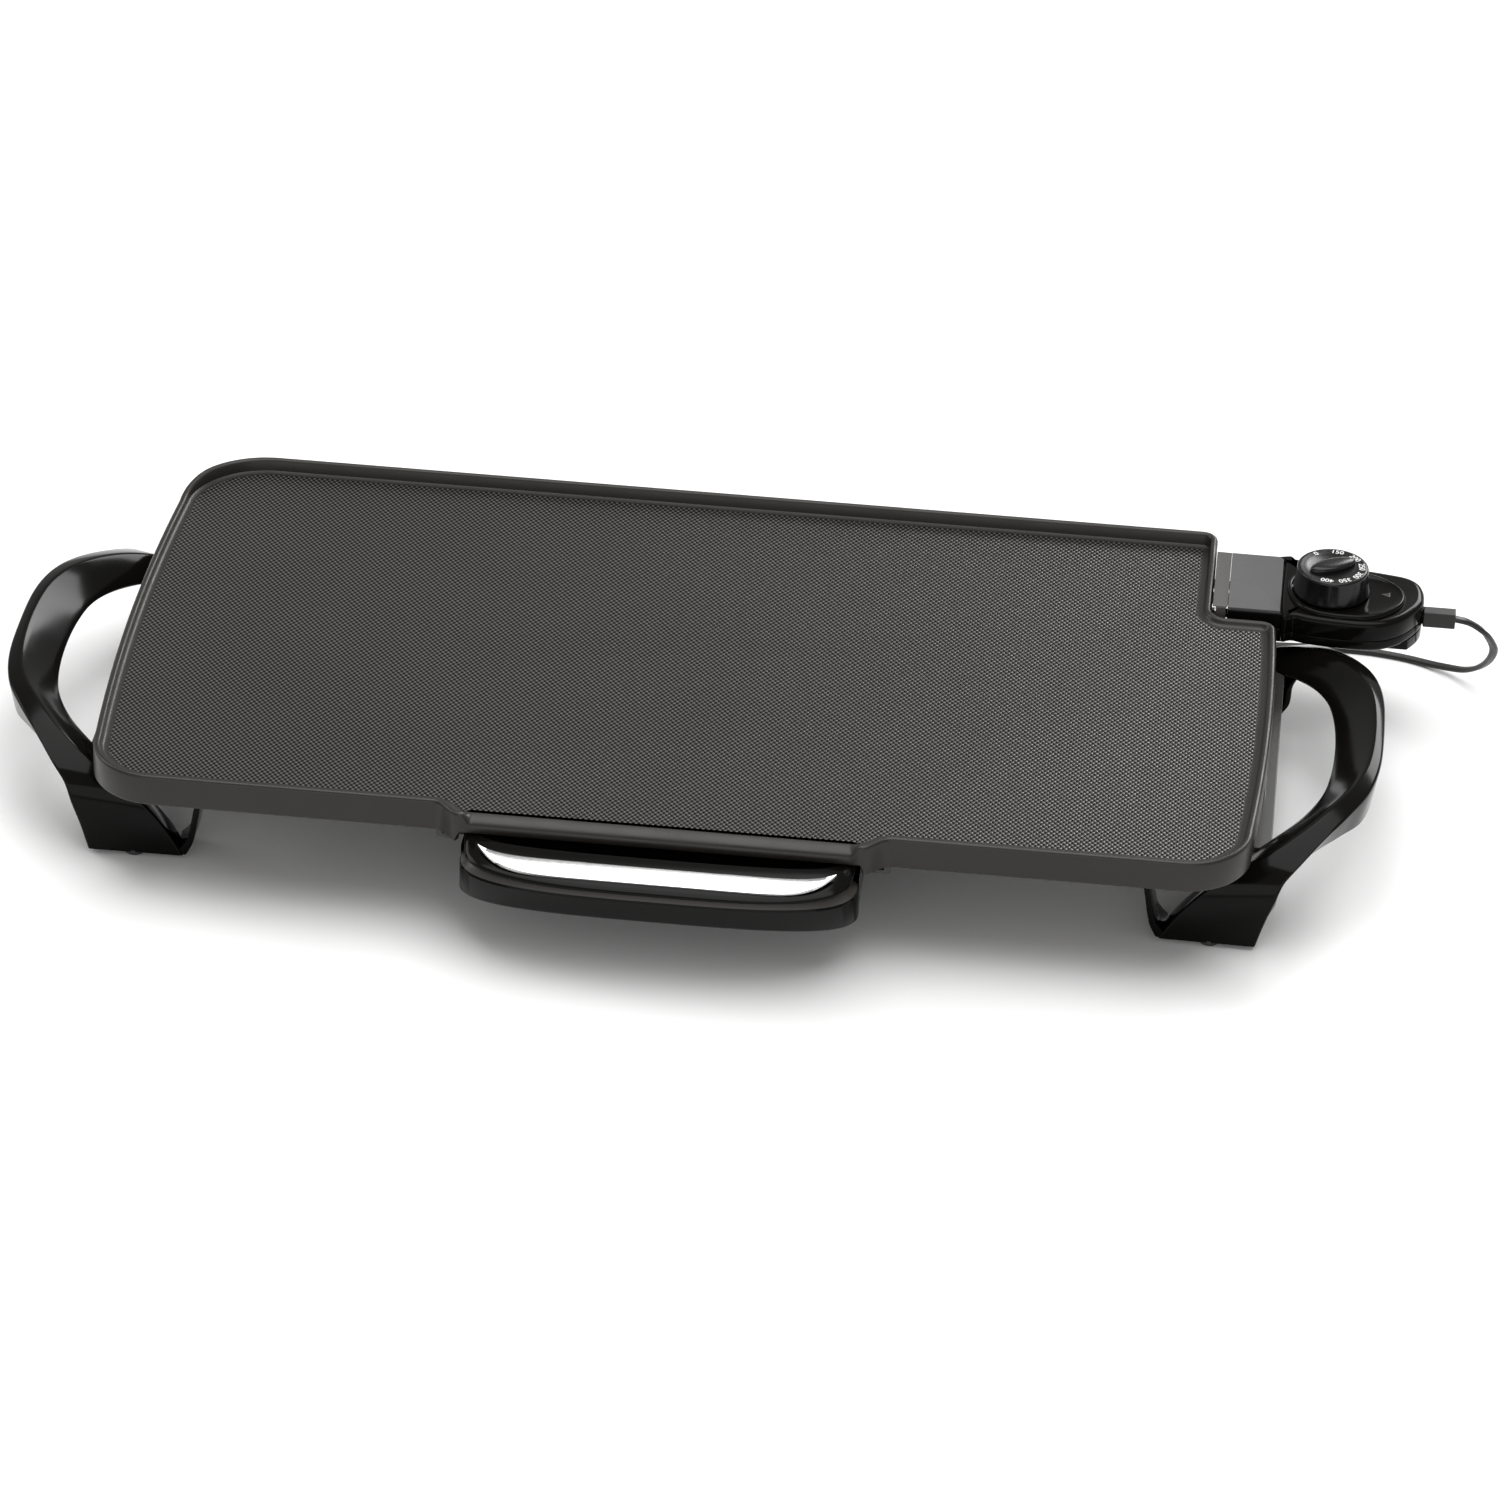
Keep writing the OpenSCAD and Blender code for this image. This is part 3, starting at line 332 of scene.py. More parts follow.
LENS = plastic("pointer_lens", (0.004, 0.001, 0.0008), (0.007, 0.0015, 0.0012), 0.16,
               grain=700, depth=0.00001, coat=0.5)
PHENOLIC = plastic("phenolic_brown", (0.060, 0.030, 0.018), (0.110, 0.058, 0.034), 0.45)
CERAMIC = plastic("ceramic_white", (0.62, 0.60, 0.55), (0.78, 0.76, 0.70), 0.3)
VINYL = plastic("cord_vinyl", (0.006, 0.0056, 0.0052), (0.011, 0.0104, 0.0098), 0.36,
                grain=1100, depth=0.00003, wear=0.2, shine=0.35)
PLUG = plastic("plug_vinyl", (0.014, 0.014, 0.014), (0.026, 0.026, 0.025), 0.42, 900, 0.00004)
CHROME = metal("polished_trim", (0.60, 0.60, 0.60), (0.68, 0.68, 0.68), 0.16, (4, 60, 4), 90, 0.000004)
STEEL = metal("sheet_steel", (0.40, 0.39, 0.37), (0.56, 0.55, 0.53), 0.34, (1, 14, 1))
SCREW = metal("screw_steel", (0.44, 0.44, 0.45), (0.66, 0.66, 0.67), 0.3)
PIN = metal("pin_steel", (0.56, 0.55, 0.53), (0.74, 0.73, 0.71), 0.24, (14, 1, 1))
PROBE = metal("probe_steel", (0.52, 0.51, 0.50), (0.72, 0.71, 0.70), 0.3, (20, 1, 1))
SHEATH = metal("element_sheath", (0.16, 0.13, 0.10), (0.34, 0.30, 0.26), 0.5)
BRASS = metal("contact_brass", (0.55, 0.40, 0.17), (0.74, 0.58, 0.30), 0.28)
LAMP = glass("lamp_glass", (0.95, 0.80, 0.72))
FLOOR = floor_material()


# ---------- mesh helpers ----------


def make(name, verts, faces, materials, which=None, sharp=35):
    """A smooth-shaded mesh object from points in metres, with edges sharper than sharp degrees kept."""
    mesh = bpy.data.meshes.new(name)
    mesh.from_pydata([tuple(v) for v in verts], [], faces)
    for material in materials:
        mesh.materials.append(material)
    if which:
        for polygon, index in zip(mesh.polygons, which):
            polygon.material_index = index
    build = bmesh.new()
    build.from_mesh(mesh)
    bmesh.ops.remove_doubles(build, verts=build.verts, dist=1e-7)
    bmesh.ops.recalc_face_normals(build, faces=build.faces)
    build.to_mesh(mesh)
    build.free()
    mesh.polygons.foreach_set("use_smooth", [True] * len(mesh.polygons))
    mesh.set_sharp_from_angle(angle=math.radians(sharp))
    made = bpy.data.objects.new(name, mesh)
    bpy.context.scene.collection.objects.link(made)
    return made


class Shape:
    """Points and faces of one piece, gathered from several lofts."""

    def __init__(self):
        self.verts = []
        self.faces = []
        self.which = []

    def loft(self, rings, slot=0, caps=(True, True), closed=True, wrap=False):
        """Joins rings of equal length. Slot is a number, or a list with one for each band; a cap is
        True for the first band's slot, False for none, or its own slot."""
        base = len(self.verts)
        n = len(rings[0])
        for ring in rings:
            self.verts.extend(ring)
        bands = len(rings) if wrap else len(rings) - 1
        for j in range(bands):
            k_next = (j + 1) % len(rings)
            for k in range(n if closed else n - 1):
                a, b = base + j * n + k, base + j * n + (k + 1) % n
                c, d = base + k_next * n + (k + 1) % n, base + k_next * n + k
                self.faces.append((a, b, c, d))
                self.which.append(slot[j] if isinstance(slot, (list, tuple)) else slot)
        if not wrap:
            for cap, j in zip(caps, (0, len(rings) - 1)):
                if cap is not False:
                    self.faces.append(tuple(base + j * n + k for k in range(n)))
                    plain = slot if isinstance(slot, int) else slot[0]
                    self.which.append(plain if cap is True else cap)

    def turned(self, centre, axis, profile, slot=0, steps=40):
        """A turned solid: profile holds (radius, height) pairs along axis from centre."""
        axis = Vector(axis)
        side = axis.orthogonal().normalized()
        other = axis.cross(side)
        rings = []
        for radius, height in profile:
            middle = Vector(centre) + axis * height * MM
            rings.append([middle + (side * math.cos(2 * math.pi * k / steps) + other * math.sin(
                2 * math.pi * k / steps)) * radius * MM for k in range(steps)])
        self.loft(rings, slot)

    def build(self, name, materials, sharp=35):
        return make(name, self.verts, self.faces, materials, self.which, sharp)


def place_piece(piece, body, slot, *replaced):
    """Puts a piece on its body, in place of the CAD nodes it stands for. The slot is not used."""
    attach(piece, body)
    if replaced:
        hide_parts(*replaced)


def arc(cx, cy, r, start, end, steps):
    """Points of an arc between two angles in degrees."""
    points = []
    for k in range(steps + 1):
        angle = math.radians(start + (end - start) * k / steps)
        points.append((cx + r * math.cos(angle), cy + r * math.sin(angle)))
    return points


def even(points, step):
    """The closed outline again, with points a step apart."""
    loop = [Vector(p) for p in points]
    lengths = [0]
    for k, p in enumerate(loop):
        lengths.append(lengths[-1] + (loop[(k + 1) % len(loop)] - p).length)
    count = round(lengths[-1] / step)
    result, k = [], 0
    for j in range(count):
        goal = lengths[-1] * j / count
        while lengths[k + 1] < goal:
            k += 1
        share = (goal - lengths[k]) / max(lengths[k + 1] - lengths[k], 1e-9)
        result.append(loop[k].lerp(loop[(k + 1) % len(loop)], share))
    return result


def inward(loop):
    """Unit normals that point into a counter-clockwise outline."""
    result = []
    for k in range(len(loop)):
        run = (loop[(k + 1) % len(loop)] - loop[k - 1]).normalized()
        result.append(Vector((-run.y, run.x)))
    return result


def smooth_step(value):
    """0 to 1 with soft ends."""
    value = max(0.0, min(1.0, value))
    return value * value * (3 - 2 * value)


def rounded(points, radii, steps=3):
    """An open run of points in space, with its inner corners cut round."""
    result = [points[0]]
    for k in range(1, len(points) - 1):
        before, here, after = points[k - 1], points[k], points[k + 1]
        r = min(radii[k], (here - before).length * 0.45, (after - here).length * 0.45)
        a = here + (before - here).normalized() * r
        b = here + (after - here).normalized() * r
        for j in range(steps + 1):
            t = j / steps
            result.append(a * (1 - t) ** 2 + here * 2 * t * (1 - t) + b * t * t)
    result.append(points[-1])
    return result


def rounded_loop(corners, radii, steps=3):
    """A closed section in space with its corners cut round."""
    seam = corners[-1].lerp(corners[0], 0.5)
    return rounded([seam] + corners + [seam], [0] + radii + [0], steps)[:-1]


def through(a, b, c, d, t):
    """Point at share t between b and c of a smooth curve through a, b, c and d."""
    bend, twist = 2 * a - 5 * b + 4 * c - d, 3 * b - a - 3 * c + d
    return 0.5 * (2 * b + (c - a) * t + bend * t * t + twist * t ** 3)


def spline_points(points, share=3):
    """Smooth points through an open route."""
    result = []
    last = len(points) - 1
    for k in range(last):
        around = points[max(k - 1, 0)], points[k], points[k + 1], points[min(k + 2, last)]
        result += [through(*around, j / share) for j in range(share)]
    result.append(points[last])
    return result


def smooth_loop(points, share=8):
    """A closed smooth curve through given corners."""
    count = len(points)
    result = []
    for k in range(count):
        around = [Vector(points[(k + j) % count]) for j in (-1, 0, 1, 2)]
        result += [through(*around, j / share) for j in range(share)]
    return even(result, 0.9)


# ---------- camera, light and floor ----------


def camera():
    """A long lens, from the front right and above."""
    data = bpy.data.cameras.new("camera")
    data.sensor_width = SENSOR
    data.lens = LENS_LENGTH
    data.clip_end = 50
    made = bpy.data.objects.new("camera", data)
    bpy.context.scene.collection.objects.link(made)
    right = Vector(CAMERA_RIGHT).normalized()
    forward = Vector(CAMERA_FORWARD).normalized()
    up = right.cross(forward).normalized()
    place = at(*CAMERA_PLACE)
    made.matrix_world = Matrix((
        (right.x, up.x, -forward.x, place.x),
        (right.y, up.y, -forward.y, place.y),
        (right.z, up.z, -forward.z, place.z),
        (0, 0, 0, 1)))
    bpy.context.scene.camera = made


def soft_light(name, place, aim, width, height, power):
    """A white rectangular light, in metres and watts."""
    data = bpy.data.lights.new(name, "AREA")
    data.shape = "RECTANGLE"
    data.size = width
    data.size_y = height
    data.energy = power
    made = bpy.data.objects.new(name, data)
    bpy.context.scene.collection.objects.link(made)
    made.location = place
    made.rotation_euler = (Vector(aim) - Vector(place)).to_track_quat("-Z", "Y").to_euler()


def floor():
    """A gridded plane under everything."""
    size, steps = 14, 28
    lines = [size * (k / steps - 0.5) for k in range(steps + 1)]
    shape = Shape()
    shape.loft([[Vector((x, y, 0)) for x in lines] for y in lines], caps=(False, False), closed=False)
    shape.build("studio_floor", [FLOOR])


def studio():
    """World, soft boxes and plain view settings."""
    world = bpy.data.worlds.new("studio")
    bpy.context.scene.world = world
    world.use_nodes = True
    background = world.node_tree.nodes["Background"]
    background.inputs["Color"].default_value = (1, 0.99, 0.98, 1)
    background.inputs["Strength"].default_value = 0.48
    soft_light("top_box", (0.1, 0.1, 2.6), (0, 0, 0), 3.0, 2.2, 72)
    soft_light("back_right_box", (1.25, 2.7, 1.75), (0.25, 0, 0), 1.3, 1.0, 42)
    soft_light("left_box", (-2.1, 0.6, 1.5), (-0.1, 0, 0), 0.9, 1.2, 11)
    soft_light("front_fill", (0, -3.2, 0.9), (0, 0, 0), 3.6, 1.4, 22)
    floor()
    bpy.context.scene.view_settings.view_transform = "Standard"
    bpy.context.scene.view_settings.look = "None"


# ---------- cord: the route of the CAD lead, then its coil and its tail ----------

# Route in the heat control's own place, from the strain relief to the coil
LEAD_ROUTE = [
    (0, 0, 0), (5, 0, -0.8), (10, 2, -4), (15.5, 4, -9), (19, 8, -15.5), (21.5, 13, -23.5),
    (21, 19, -32), (18.5, 26, -40.5), (14, 33, -48), (8, 40, -53.7), (0.5, 47, -57.3),
    (-8, 52.5, -59.4), (-17.5, 57, -60.3), (-28, 60, -60.5), (-40, 62, -60.5), (-52, 62.6, -60.5),
    (-65, 62.3, -60.5), (-80, 61.2, -60.5), (-95, 60, -60.5), (-110, 59.2, -60.5), (-125, 59, -60.5),
    (-140, 59, -60.5), (-155, 59, -60.5)]
TAIL_ROUTE = [
    (0, 0, 8.7), (-6, 0, 8.7), (-12, 0, 8.4), (-18, 0, 7.6), (-24, 0, 6.7), (-30, 0, 6.2),
    (-36, 0, 6.1)]
COIL_TURNS = 3
COIL_PITCH = 2.9
COIL_R = 25


def cord_path():
    """Where the cord leaves the strain relief, and the points of its lead, coil and tail."""
    exit_point = Vector((relief_high[0], (relief_low[1] + relief_high[1]) / 2,
                         (relief_low[2] + relief_high[2]) / 2))
    lead = [exit_point + Vector(p) * MM for p in LEAD_ROUTE]
    centre = Vector(((coil_low[0] + coil_high[0]) / 2, (coil_low[1] + coil_high[1]) / 2, 0))
    turn_steps = 40
    coil = []
    for k in range(1, COIL_TURNS * turn_steps):
        angle = -math.pi / 2 - 2 * math.pi * k / turn_steps
        height = (CORD_T / 2 + CORD_LIFT + COIL_PITCH * k / turn_steps) * MM
        coil.append(centre + Vector((COIL_R * MM * math.cos(angle), COIL_R * MM * math.sin(angle), height)))
    start = centre + Vector((0, -COIL_R * MM, (CORD_T / 2 + CORD_LIFT) * MM))
    tail = [start + Vector(p) * MM for p in TAIL_ROUTE]
    return exit_point, spline_points(lead) + coil + spline_points(tail)


def flat_profile():
    """Half widths and heights of the flat twin lead, with a groove along its middle on both faces."""
    wide, thick = CORD_W / 2, CORD_T / 2
    bead = wide - thick
    points = []
    for k in range(9):
        angle = math.radians(-80 + 160 * k / 8)
        points.append((bead + thick * math.cos(angle), thick * math.sin(angle)))
    points.append((0, thick * 0.74))
    for k in range(9):
        angle = math.radians(100 + 160 * k / 8)
        points.append((-bead + thick * math.cos(angle), thick * math.sin(angle)))
    points.append((0, -thick * 0.74))
    return points


def cord():
    """The flat twin lead, swept along its route."""
    exit_point, path = cord_path()
    rings = []
    for k, point in enumerate(path):
        run = (path[min(k + 1, len(path) - 1)] - path[max(k - 1, 0)]).normalized()
        side = Vector((0, 0, 1)).cross(run).normalized()
        up = run.cross(side)
        rings.append([point + side * u * MM + up * v * MM for u, v in flat_profile()])
    shape = Shape()
    shape.loft(rings)
    lead = shape.build("power_cord", [VINYL], 50)
    place_piece(lead, "heat_control", "cord_black", "cord_lead", "cord_coil", "cord_tail")


# ---------- plate ----------


def end_x(y):
    """Half length of the plate at y: its ends bow outwards."""
    return half_l - END_BOW * (y / HALF_D) ** 2


def flank(sign):
    """S of the spout's flank, from the rim at the sign side to the lip."""
    points = []
    for k in range(13):
        s = k / 12
        points.append((sign * (SPOUT_HALF + SPOUT_CURVE * (1 - s)),
                       -HALF_D - SPOUT_OUT * (1 - math.cos(math.pi * s)) / 2))
    return points


def end_points(start, finish, sign):
    """Points along the plate's bowed end at the sign side, between two arcs."""
    steps = 30
    along = [start + (finish - start) * k / steps for k in range(1, steps)]
    return [(sign * end_x(y), y) for y in along]


def plate_outline():
    """Plan of the plate, counter-clockwise from the spout's right flank."""
    front_y = -HALF_D + CORNER_FRONT
    back_y = HALF_D - CORNER_BACK
    top = NOTCH_Y - NOTCH_R
    points = flank(1)[::-1]
    points += arc(end_x(front_y) - CORNER_FRONT, front_y, CORNER_FRONT, -90, 0, 24)
    points += end_points(front_y, top, 1)
    points += arc(end_x(top) - NOTCH_R, top, NOTCH_R, 0, 90, 10)
    points += arc(NOTCH_X + NOTCH_R, NOTCH_Y + NOTCH_R, NOTCH_R, 270, 180, 10)
    points += arc(NOTCH_X - NOTCH_R, HALF_D - NOTCH_R, NOTCH_R, 0, 90, 10)
    points += arc(-end_x(back_y) + CORNER_BACK, back_y, CORNER_BACK, 90, 180, 28)
    points += end_points(back_y, front_y, -1)
    points += arc(-end_x(front_y) + CORNER_FRONT, front_y, CORNER_FRONT, 180, 270, 24)
    points += flank(-1)
    return even(points, 1.6)


def plate_profile(point):
    """(inset, height) pairs round the rim, from the underside over the rim to the pan."""
    rim = RIM_Z + (LEDGE_Z - RIM_Z) * smooth_step((point.y - (HALF_D - 48)) / 34)
    window = point.x > NOTCH_X - 1.2 and abs(point.y - NECK_Y) < NECK_HALF - 1.2
    low = PIN_Z + 1.2 if window else SKIRT_Z
    wall = [(4, UNDER_Z), (3.6, low + 0.4), (3.0, low), (0.7, low), (0.1, low + 0.6), (0, low + 1.4),
            (0, rim - 1.7), (0.25, rim - 0.85), (0.8, rim - 0.25), (1.7, rim), (2.5, rim - 0.08),
            (3.2, rim - 0.5), (3.7, rim - 1.3), (4.3, PAN_Z + 0.8), (5.4, PAN_Z + 0.22), (7.0, PAN_Z + 0.02),
            (7.6, PAN_Z)]
    if point.y > -HALF_D - 2:
        return wall
    low = SPOUT_UNDER
    spout = [(4, UNDER_Z), (3.6, low + 0.4), (3.0, low), (0.8, low), (0.2, low + 0.5), (0, low + 1)]
    for degrees in (90, 80, 70, 60, 50, 40, 31, 23, 15, 8, 0):
        lean = math.radians(degrees)
        spout.append((LIP_ROLL * (1 - math.sin(lean)), PAN_Z - LIP_FALL * (1 - math.cos(lean))))
    share = smooth_step((SPOUT_HALF - 1 - abs(point.x)) / 4)
    under = smooth_step((SPOUT_HALF + 2 - abs(point.x)) / 1.5)
    skirt_rows = 6
    mixed = []
    for k, (a, b) in enumerate(zip(wall, spout)):
        part = under if k < skirt_rows else share
        mixed.append((a[0] + (b[0] - a[0]) * part, a[1] + (b[1] - a[1]) * part))
    return mixed


def plate_posts(shape):
    """Boss of the probe's well, and the posts that the screws bite into."""
    boss = 6.4
    well = [(boss, 0), (boss, 79.4), (boss - 0.6, 80), (3.5, 80), (3.3, 79), (3.3, 60)]
    shape.turned(at(NOTCH_X - 82, NECK_Y, PIN_Z), (1, 0, 0), well, 2, 36)
    bracket_x, rail_x, guard_y = half_l - 54, 108.4, 23.5
    bracket_spots = [(x, y) for x in (-bracket_x, bracket_x) for y in (HANDLE_Y - 21, HANDLE_Y + 21)]
    rail_spots = [(x, y) for x in (-rail_x, rail_x) for y in (-HALF_D + 22, -HALF_D + 90)]
    guard_spots = [(NOTCH_X - 12, y) for y in (NECK_Y - guard_y, NECK_Y + guard_y)]
    for spots, low, profile in (
            (bracket_spots, SKIRT_Z - 4, [(5.4, 0), (6, 0.6), (6.3, 9)]),
            (rail_spots, UNDER_Z - 6, [(4.6, 0), (5, 0.5), (5.2, 6.6)]),
            (guard_spots, PIN_Z - 4.4, [(3.5, 0), (3.8, 0.4), (3.9, 6.8)])):
        for x, y in spots:
            shape.turned(at(x, y, low), (0, 0, 1), profile, 2)


def plate():
    """The casting: its rim profile carried round its outline, and the posts under it."""
    outline = plate_outline()
    normals = inward(outline)
    profiles = [plate_profile(p) for p in outline]
    bands = len(profiles[0])
    rings = [[at(p.x + n.x * profile[j][0], p.y + n.y * profile[j][0], profile[j][1])
              for p, n, profile in zip(outline, normals, profiles)] for j in range(bands)]
    shape = Shape()
    slots = [2] * 2 + [1] * (bands - 3)
    shape.loft(rings, slots, caps=(2, 0))
    plate_posts(shape)
    piece = shape.build("plate_casting", [COOK, COAT, COAT_UNDER], 40)
    place_piece(piece, "griddle", "coated_casting", "griddle_plate")


# ---------- drip tray and trim ----------

TRAY_HALF = 97
TRAY_SIDE_Y = -160
LEDGE_REACH = 36.5
LEDGE_REAR = 13.4
FRONT_CURVE = 3.2
STATIONS = 120
TRAY_LOW = tray_low[2] / MM


def front_point(s, half, reach, height, horn=0.0):
    """A point of the tray's curved front; s runs from -1 at the left to 1 at the right, and horn
    raises the ends."""
    angle = math.pi / 2 * s
    power = 2 / FRONT_CURVE
    return at(half * math.copysign(abs(math.sin(angle)) ** power, s),
              TRAY_SIDE_Y - reach * max(math.cos(angle), 0) ** power, height + horn * abs(s) ** 14)


def front_row(half, reach, height, horn=0.0):
    """Points across the curved front, from the right to the left."""
    return [front_point(1 - 2 * j / STATIONS, half, reach, height, horn) for j in range(STATIONS + 1)]


def tray_front(shape):
    """Curved front with its ledge, its finger groove and its floor."""
    low, top = TRAY_LOW, SKIRT_Z
    # (inset from the half width, reach, height, horn), round the section from the outside bottom
    levels = [
        (2.5, 20.8, low, 0), (1.0, 22.3, low + 0.4, 0), (0, 23.4, low + 1.6, 0),
        (0.4, 31.6, top - 9.4, 0), (1, 31.2, top - 8.2, 0), (5, 28.4, top - 5.2, 0),
        (6, 27.6, top - 4.2, 0), (6, 27.6, top - 3.0, 0), (5, 29.0, top - 2.5, 0),
        (3.0, 35.8, top - 2.2, 2), (2.6, LEDGE_REACH, top - 1.5, 3), (2.6, LEDGE_REACH, top - 0.7, 4),
        (3.2, LEDGE_REACH - 0.8, top + 0.15, 5), (4.6, LEDGE_REACH - 3, top + 0.75, 6),
        (6.4, 24, top + 2.7, 4.5), (8.4, LEDGE_REAR + 1, top + 4.8, 1.5), (9.2, LEDGE_REAR, top + 4.8, 1.0),
        (9.6, LEDGE_REAR, top + 3.6, 0), (9.8, LEDGE_REAR + 1, top + 2.4, 0), (10.8, 22.6, top, 0),
        (10.6, 22.8, top - 4, 0), (7, 20.5, low + 5, 0), (9, 18.5, low + 2.4, 0)]
    rows = [front_row(TRAY_HALF - inset, reach, height, horn) for inset, reach, height, horn in levels]
    # The groove's rows take the lighter grey, a painted reflection on the black front.
    groove = [1 if 4 <= k <= 6 else 0 for k in range(len(rows))]
    shape.loft(rows, groove, closed=False, wrap=True)
    for end in (0, STATIONS):
        shape.faces.append(tuple(k * (STATIONS + 1) + end for k in range(len(rows))))
        shape.which.append(0)
    floor_loop = front_row(TRAY_HALF - 2.5, 20.8, low)
    shape.loft([floor_loop, [p + Vector((0, 0, 2.4 * MM)) for p in floor_loop]])


def tray_tub(shape):
    """Tub behind the front, open towards it, with a rolled edge and the flanges that ride the rails."""
    low, high = TRAY_LOW, SKIRT_Z - 3.4
    back = (tray_high[1] - middle_y) / MM
    half = TRAY_HALF - 0.5
    front = TRAY_SIDE_Y - 2

    def loop(inset, corner, height):
        right, rear = half - inset, back - inset
        points = [(-right, front)]
        points += arc(-right + corner, rear - corner, corner, 180, 90, 6)
        points += arc(right - corner, rear - corner, corner, 90, 0, 6)
        points.append((right, front))
        return [at(x, y, height) for x, y in points]

    section = [(2.2, 3, low), (0.6, 3, low + 1), (0, 3, low + 3), (0, 3, high - 0.5), (0.5, 3, high),
               (1.9, 3, high), (2.4, 3, high - 0.5), (2.6, 3, low + 6), (4, 4, low + 3.2),
               (6.5, 6, low + 2.4)]
    shape.loft([loop(*row) for row in section], closed=False)
    out = TRAY_HALF + 10
    edge = [(half - 1, high - 2), (out - 0.4, high - 2), (out, high - 1.6),
            (out, high - 0.4), (out - 0.4, high), (half - 1, high)]
    for sign in (-1, 1):
        shape.loft([[at(sign * x, y, z) for x, z in edge] for y in (-HALF_D + 6, back)])


def drip_tray():
    """The moulding: its front and its tub."""
    shape = Shape()
    tray_front(shape)
    tray_tub(shape)
    piece = shape.build("tray_moulding", [GLOSS, GROOVE_PAINTED_SHEEN], 38)
    place_piece(piece, "tray", "gloss_black", "drip_tray")


def ledge_height(y):
    """Height of the tray's sloping ledge at y."""
    return SKIRT_Z + 5 * (y - TRAY_SIDE_Y + LEDGE_REACH) / (LEDGE_REACH - LEDGE_REAR)


def tray_trim():
    """Polished crescent on the ledge, drawn to a point at both ends."""
    half = TRAY_HALF - 10.5
    back = TRAY_SIDE_Y - 20
    front = TRAY_SIDE_Y - 31.2
    section = ((1, -0.4), (1, 0.55), (0.97, 0.8), (0.92, 0.9), (0.08, 0.9), (0.03, 0.8), (0, 0.55), (0, -0.4))
    rings = []
    stations = 140
    for j in range(stations + 1):
        x = half * math.sin(math.pi / 2 - math.pi * j / stations)
        out = abs(x) / half
        rear = back + 5.6 * out ** 9
        near = front + 16.6 * out ** 8
        width = max(rear - near, 0.2)
        ring = []
        for share, rise in section:
            y = near + width * share
            ring.append(at(x, y, ledge_height(y) + rise))
        rings.append(ring)
    shape = Shape()
    shape.loft(rings)
    place_piece(shape.build("trim_strip", [CHROME], 30), "tray", "polished_trim", "tray_trim")


# ---------- handles ----------

# Sections from the middle of the grip to the foot, as [out, along, height share]: inner edge, ridge,
# outer edge, outer hem and the middle of the hollow
SECTIONS = [
    [(31.8, 0, 0.78), (51, 0, 1), (56, 0, 0.975), (53, 0, 0.67), (42, 0, 0.66)],
    [(30.5, 25, 0.775), (49, 30, 0.995), (55, 31, 0.97), (52, 30, 0.66), (41, 27, 0.65)],
    [(26.5, 45, 0.765), (43.5, 50, 0.98), (50.5, 54, 0.95), (47.5, 52, 0.64), (36.5, 48, 0.63)],
    [(17.5, 63, 0.735), (34, 67, 0.945), (42, 72, 0.915), (37, 67.5, 0.64), (27, 63.5, 0.6)],
    [(5, 78, 0.69), (21, 84, 0.87), (30, 90, 0.835), (23.5, 83, 0.61), (13.5, 77, 0.54)],
    [(-8, 88, 0.6), (5, 97.5, 0.76), (19, 105, 0.73), (14.5, 95, 0.52), (2, 86, 0.45)],
    [(-21, 94.5, 0.48), (-11, 104, 0.64), (12, 111, 0.62), (9.5, 96, 0.4), (-7, 88, 0.34)],
    [(-32, 97.5, 0.34), (-24, 108.5, 0.5), (8, 113.5, 0.46), (8.5, 95, 0.24), (-14, 89, 0.24)],
    [(-39.5, 98.5, 0.2), (-37, 111, 0.29), (4, 113.5, 0.27), (5, 94, 0.15), (-19, 90, 0.15)],
    [(-45.5, 99, 0.04), (-47, 112, 0.04), (0.3, 112.6, 0.04), (1, 93, 0.04), (-23, 91, 0.04)]]


def section_at(index):
    """A section by number, mirrored before the middle of the grip and carried on past the foot."""
    last = len(SECTIONS) - 1
    if index < 0:
        return [Vector((p[0], -p[1], p[2])) for p in SECTIONS[-index]]
    if index > last:
        return [2 * Vector(a) - Vector(b) for a, b in zip(SECTIONS[last], SECTIONS[2 * last - index])]
    return [Vector(p) for p in SECTIONS[index]]


def section_between(u):
    """The section at u, smoothly between the numbered ones."""
    index = min(math.floor(u), len(SECTIONS) - 2)
    t = u - index
    around = [section_at(index + k) for k in (-1, 0, 1, 2)]
    return [through(*corners, t) for corners in zip(*around)]


def ribbon_ring(u, side, mirror):
    """The ribbon's hollow section at u, with a slight crown on its broad face."""
    corners = [Vector((half_l + p.x, HANDLE_Y + side * p.y, GRIP_Z * p.z)) for p in section_between(u)]
    middle = corners[4]
    outer = corners[:4]
    inner = [q + (middle - q).normalized() * SHELL * (1.3 if k in (1, 2) else 1) for k, q in enumerate(outer)]
    normal = ((outer[0] + outer[1]) / 2 - middle).normalized()
    crown = [outer[0].lerp(outer[1], share) + normal * 0.55 for share in (0.33, 0.67)]
    run = outer[:1] + crown + outer[1:] + inner[::-1]
    smooth = rounded_loop(run, [1.3, 6, 6, 1.5, 1.5, 1.1, 0.8, 2, 2, 0.8])
    return [at(mirror * p.x, p.y, p.z) for p in smooth]


